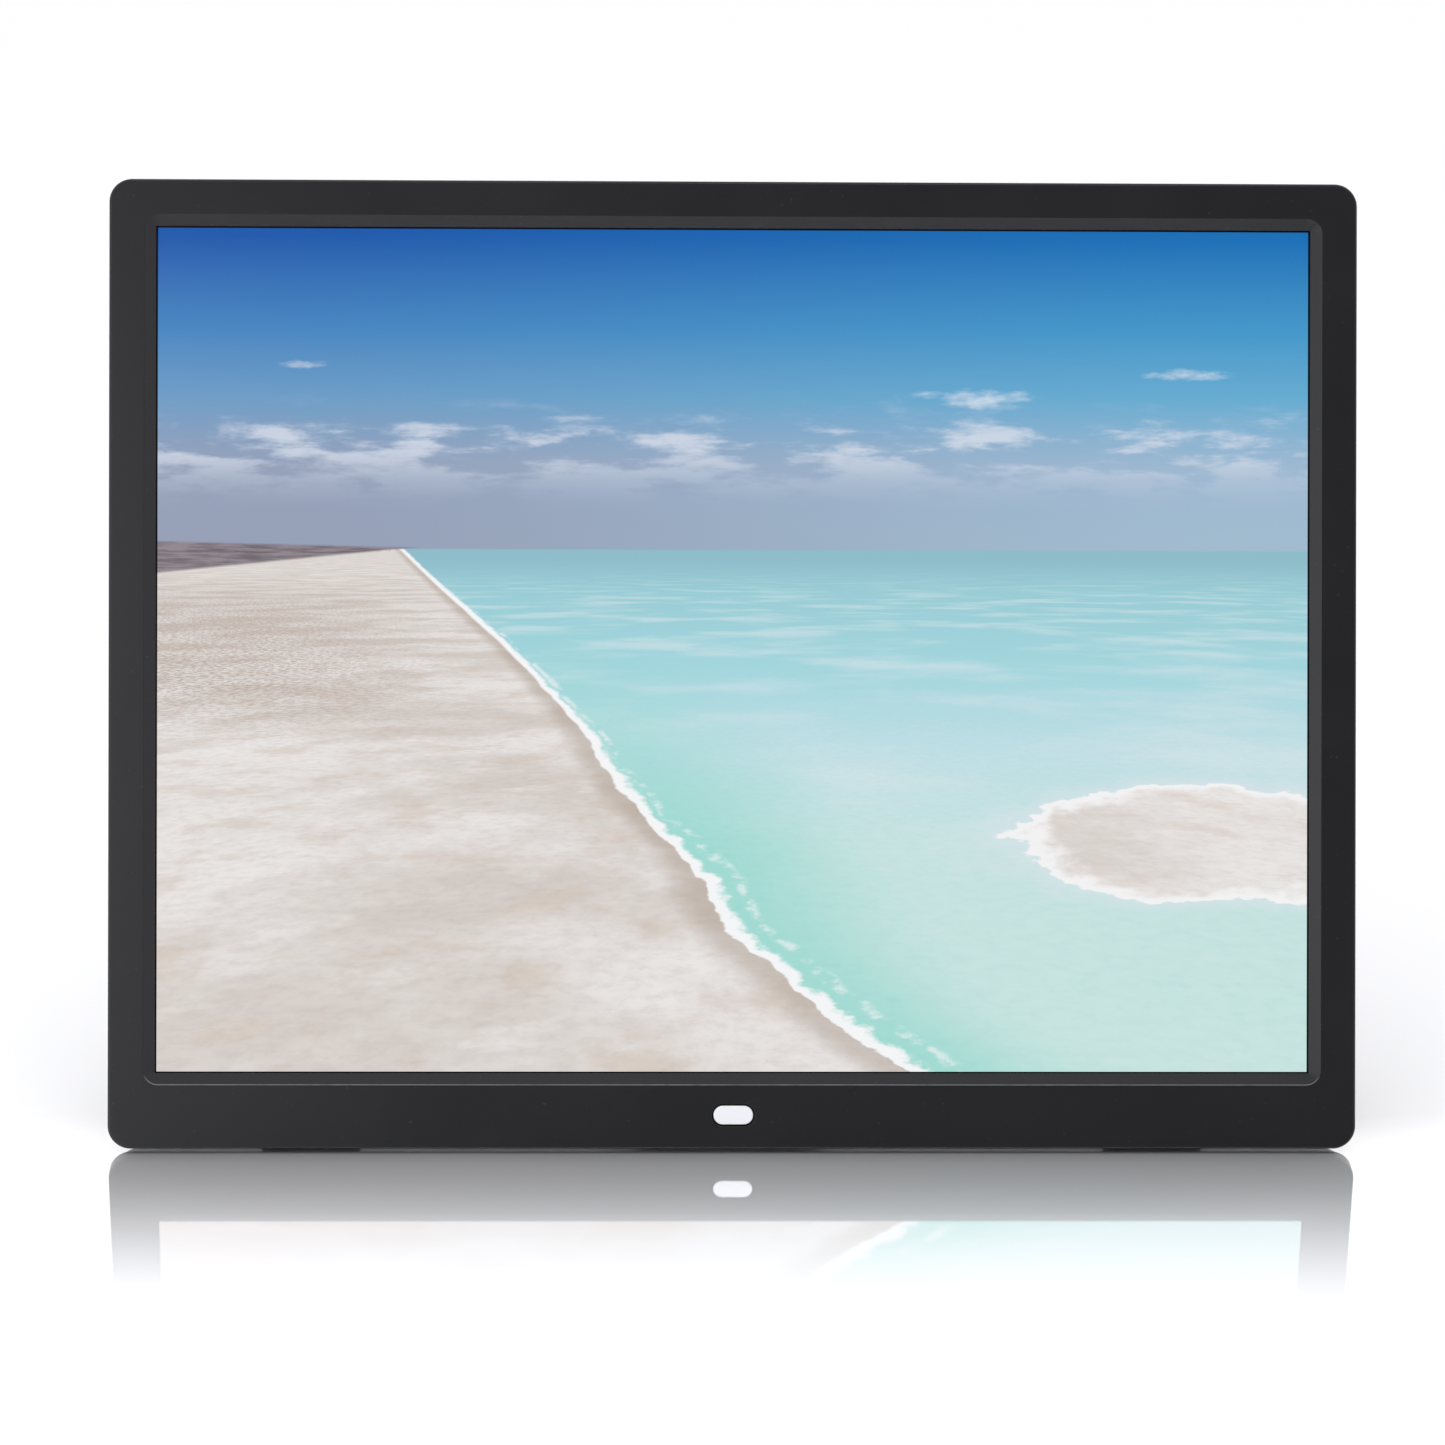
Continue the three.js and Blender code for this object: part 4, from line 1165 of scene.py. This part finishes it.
def build_screw(node, head_height, finish):
    """Pan-head screw along the depth, with a tapering cross recess and a threaded shank."""
    low, high = HOUSING.box(node)
    x, z = middle_of(node)
    head = (high.x - low.x) / 2
    seat = high.y - head_height
    shank = head * 0.45
    pitch = 0.4
    profile = [(shank * 0.3, low.y)]
    for turn in range(int((seat - low.y - 0.6) / pitch)):
        start = low.y + 0.3 + turn * pitch
        profile += [(shank * 0.82, start), (shank, start + pitch / 2)]
    profile += [(shank * 0.85, seat), (head - 0.1, seat)]
    profile += [(head - inset, high.y - drop) for inset, drop in fillet(min(0.6, head_height - 0.15))]
    screw = build("screw_" + node, turned(x, z, profile, sides=24))
    cut(screw, [ring(cross_outline(x, z, head * 0.28, 0.12), high.y - head_height * 0.7),
                ring(cross_outline(x, z, head * 0.62, 0.26), high.y + 0.1)])
    settle(screw, "screw_steel", node, finish=finish)


# --- sockets
def socket_body(name, soft):
    low, high = HOUSING.box(name)
    shape = growing_face(low, high, 0, 0.5, 4)
    return build("body_" + name, soft_slab(shape, low.x, high.x, soft, 3, side_ring))


def build_shell_socket(name, front, back, margin, count):
    """Sheet-metal shell round a tongue, from front to back in depth, that has contacts."""
    low, high = HOUSING.box(name)
    sheet = 0.5
    body = socket_body(name, 0.2)
    mouth = growing_face(low, high, -sheet, 0.4, 4)
    cut(body, flared(mouth, low.x + SOCKET_BACK, high.x, 0.2, plane=side_ring))
    settle(body, "sheet_steel", name)
    z0, z1 = low.z + margin, high.z - margin
    blade = growing(low.y + front, low.y + back, z0, z1, 0.05, 2)
    tongue = build("tongue_" + name, soft_slab(blade, low.x + 2.1, high.x - 1.6, 0.1, 2, side_ring))
    settle(tongue, "chip_epoxy")
    pins = []
    pitch = (z1 - z0 - 1) / count
    for order in range(count):
        z = z0 + 0.5 + pitch * (order + 0.5)
        face = low.y + back
        pin = growing(face - 0.05, face + 0.15, z - pitch * 0.3, z + pitch * 0.3, 0.05, 2)
        pins.append(soft_slab(pin, low.x + 2.2, high.x - 2.3, 0.03, 2, side_ring))
    settle(build("contacts_" + name, *pins), "sheet_steel", finish="gold")


def build_round_socket(name, radius, has_pin):
    low, high = HOUSING.box(name)
    y, z = (low.y + high.y) / 2, (low.z + high.z) / 2
    body = socket_body(name, 0.3)
    bore = growing_circle(y, z, radius, 32)
    cut(body, flared(bore, low.x + SOCKET_BACK, high.x, 0.3, plane=side_ring))
    settle(body, "chip_epoxy", name)
    outer, inner = radius - 0.02, radius - 0.3
    profile = ((outer, high.x - 5), (outer, high.x - 0.9), (inner, high.x - 0.9), (inner, high.x - 5))
    settle(build("sleeve_" + name, turned(y, z, profile, side_ring, 32), loop=True), "sheet_steel")
    if has_pin:
        profile = ((0.8, low.x + 1.8), (0.8, high.x - 2.4), (0.72, high.x - 2.0), (0.3, high.x - 1.8))
        settle(build("pin_" + name, turned(y, z, profile, side_ring, 20)), "sheet_steel")


# --- inner pieces
def chip_pins(x, z, width, height, foot, sides):
    """Two overlapping plates for each gull-wing pin, one high at the package and one low."""
    pitch = 1.27
    for way_x, way_z in sides:
        span, reach = (height, width / 2) if way_x else (width, height / 2)
        count = int((span - 1.6) / pitch)
        for order in range(count):
            shift = (order - (count - 1) / 2) * pitch
            for rise, start, end in ((0.55, -0.2, 0.8), (0.02, 0.5, 1.7)):
                middle = reach + (start + end) / 2
                size = (end - start, 0.5) if way_x else (0.5, end - start)
                centre = (x + (way_x * middle or shift), z + (way_z * middle or shift))
                plate = around(*centre, *size, 0.05, 1)
                yield [ring(plate, foot + rise), ring(plate, foot + rise + 0.2)]


def build_chip(node, sides):
    """Epoxy package with a first-pin dimple, and pins along its sides."""
    low, high = HOUSING.box(node)
    x, z = middle_of(node)
    width, height = high.x - low.x, high.z - low.z
    shape = growing_around(x, z, width, height, 0.3, 3)
    body = build("package_" + node, soft_slab(shape, low.y, high.y, 0.2, 2))
    dimple = circle(low.x + 1.6, low.z + 1.6, 0.6, 20)
    cut(body, [ring(dimple, high.y - 0.12), ring(dimple, high.y + 0.2)])
    settle(body, "chip_epoxy", node)
    pins = chip_pins(x, z, width, height, low.y - 0.28, sides)
    settle(build("pins_" + node, *pins), "sheet_steel")


def build_capacitor(node):
    """Aluminium can with a crimp near its foot and a shallow dished top."""
    low, high = HOUSING.box(node)
    x, z = middle_of(node)
    radius = (high.x - low.x) / 2
    foot = ((0.1, 0), (0, 0.2), (0, 0.9), (0.35, 1.2), (0, 1.5))
    profile = [(radius - inset, low.y + rise) for inset, rise in foot]
    top = fillet(0.35) + [(0.8, 0), (1.0, 0.15)]
    profile += [(radius - inset, high.y - drop) for inset, drop in top]
    can = build("can_" + node, turned(x, z, profile, sides=40))
    groove = cross_outline(x, z, radius - 1.3, 0.12)
    cut(can, [ring(groove, high.y - 0.3), ring(groove, high.y + 0.2)])
    settle(can, "can_aluminium", node)


def build_coil_part(node, name):
    """Ferrite block with a waist, and turns of wire round that waist."""
    low, high = HOUSING.box(node)
    x, z = middle_of(node)
    width, height, depth = high.x - low.x, high.z - low.z, high.y - low.y
    waist = 0.72
    profile = ((1, 0), (1, 0.25), (waist, 0.25), (waist, 0.78), (1, 0.78), (1, 1))
    core = build(name, [ring(around(x, z, width * share, height * share, 1.6, 6), low.y + depth * level)
                        for share, level in profile])
    soften(core, 0.15)
    settle(core, "chip_epoxy", node)
    turns = 6
    pitch = depth * 0.5 / turns
    wrap = growing_around(x, z, width * waist, height * waist, 1.4, 6, 1)
    wires = []
    for turn in range(turns):
        y = low.y + depth * 0.27 + pitch * (turn + 0.5)
        section = circle(pitch * 0.48, y, pitch * 0.48, 8)
        wires.append([ring(wrap(grow), place) for grow, place in section])
    wire = build("wire_" + name, *wires, smooth_angle=60, loop=True)
    settle(wire, "chip_epoxy", finish="copper")


def build_speaker(name):
    """Oval frame and magnet, with a rolled surround, a cone and a dust cap."""
    low, high = HOUSING.box(name)
    x, z = middle_of(name)
    width, height = high.x - low.x, high.z - low.z
    plate = high.y - 2.4
    magnet_radius = 9

    def ovals(profile):
        rings = []
        for share, y in profile:
            tall = height * share
            rings.append(ring(around(x, z, width - height + tall, tall, tall / 3, 10), y))
        return rings

    profile = [(0.60, low.y + 4), (0.60, plate), (0.98, plate), (1.0, plate + 0.2)]
    rim = ((1.0, 0.3), (0.98, 0), (0.90, 0), (0.88, 0.5), (0.6, 0.5))
    profile += [(share, high.y - drop) for share, drop in rim]
    body = build("frame_" + name, ovals(profile))
    magnet = ((-0.4, low.y), (0, low.y + 0.4), (0, plate - 0.4), (-0.4, plate + 0.2))
    join(body, turned(x, z, [(magnet_radius + inset, y) for inset, y in magnet], sides=40))
    settle(body, "chip_epoxy", name)
    cone = ((0.87, 0.45), (0.85, 0.15), (0.80, 0.05), (0.75, 0.15),
            (0.73, 0.35), (0.36, 0.48), (0.34, 0.3), (0.18, 0.12))
    profile = [(share, high.y - drop) for share, drop in cone]
    paper = build("cone_" + name, ovals(profile), smooth_angle=50)
    settle(paper, "chip_epoxy", finish="paper")


def build_resistors():
    """Rows of chip resistors on the boards, with a plated cap at each end."""
    layout = {"main_board": (5, 3), "backlight_driver_board": (6, 2), "timing_board": (12, 1)}
    margin = 12
    first_row = 7
    row_pitch = 2.6
    size = 0.5
    cap = 0.52
    cap_width = 0.24
    chips = []
    ends = []
    for board, (columns, rows) in layout.items():
        low, high = HOUSING.box(board)
        back = high.y + 0.05
        column_pitch = (high.x - low.x - 2 * margin) / (columns - 1) * 0.9
        for place in range(columns * rows):
            x = low.x + margin + place // rows * column_pitch
            z = low.z + first_row + place % rows * row_pitch
            chips.append(block(x - size, x + size, back, back + size, z - size, z + size))
            for near in (x - 0.77, x + 0.53):
                ends.append(block(near, near + cap_width, back, back + cap, z - cap, z + cap))
    settle(build("resistors", *chips), "chip_epoxy")
    settle(build("resistor_ends", *ends), "sheet_steel")


def carry_over():
    """Every CAD node gets its slot's material, and those that show get soft edges."""
    for name, node in frame["nodes"].items():
        paint(node, SLOTS[name])
        if not node.hide_render:
            node.modifiers.new("weld", "WELD").merge_threshold = WELD_DISTANCE
            soften(node, 0.12)
            keep_flats(node)


# --- make everything
FINISHES = {
    "housing_plastic": housing_plastic(),
    "key_plastic": plastic("key_black", (22, 22, 24), (30, 30, 33), 0.34),
    "window_plastic": window_plastic(),
    "screen_glass": screen_glass(),
    "diffuser_sheet": plastic("diffuser_white", (226, 229, 232), (240, 242, 244), 0.5),
    "clear_acrylic": plastic("acrylic_pale", (214, 226, 230), (232, 240, 243), 0.12),
    "circuit_board": circuit_board(),
    "chip_epoxy": plastic("black_moulding", (20, 20, 22), (30, 30, 32), 0.5, 0.3, 2200),
    "rubber": plastic("black_rubber", (16, 16, 16), (26, 26, 26), 0.82, 0.5, 1600),
    "ribbon": ribbon_film(),
    "sheet_steel": metal("plated_steel", (168, 170, 172), (205, 207, 209), 0.34, (1, 1, 12)),
    "screw_steel": metal("black_oxide", (48, 48, 50), (74, 74, 77), 0.38),
    "can_aluminium": metal("drawn_can", (196, 198, 200), (224, 226, 228), 0.3),
    "gold": metal("gold_flash", (206, 164, 84), (228, 190, 110), 0.28),
    "copper": metal("enamelled_copper", (168, 92, 48), (198, 122, 70), 0.3),
    "paper": plastic("cone_paper", (28, 28, 29), (42, 42, 43), 0.75, 0.6, 900),
    "ink": plastic("key_ink", (188, 188, 190), (206, 206, 208), 0.6),
}
LEFT_RIGHT = ((-1, 0), (1, 0))
UP_DOWN = ((0, -1), (0, 1))

make_camera()
make_floor()
make_light()
build_bezel()
build_cover()
build_window()
build_screen()
build_leg()
build_foot_pad()
build_pin()
build_keys()
build_knob()
for screw_node in COVER_SCREWS:
    build_screw(screw_node, COVER_SCREW_HEAD, "screw_steel")
for screw_node in BOARD_SCREWS:
    build_screw(screw_node, BOARD_SCREW_HEAD, "sheet_steel")
build_shell_socket("usb_socket", 1.2, 3.0, 1.7, 4)
build_shell_socket("mini_usb_socket", 1.1, 1.9, 1.6, 5)
build_shell_socket("card_socket", 0.9, 1.3, 2.4, 9)
build_round_socket("dc_jack", 2.8, True)
build_round_socket("earphone_jack", 1.8, False)
build_chip("processor", LEFT_RIGHT + UP_DOWN)
build_chip("memory_chip", UP_DOWN)
build_chip("flash_chip", LEFT_RIGHT)
build_capacitor("capacitor_1")
build_capacitor("capacitor_2")
build_coil_part("power_inductor", "inductor")
build_coil_part("driver_transformer", "transformer")
build_speaker("speaker_left")
build_speaker("speaker_right")
build_resistors()
carry_over()
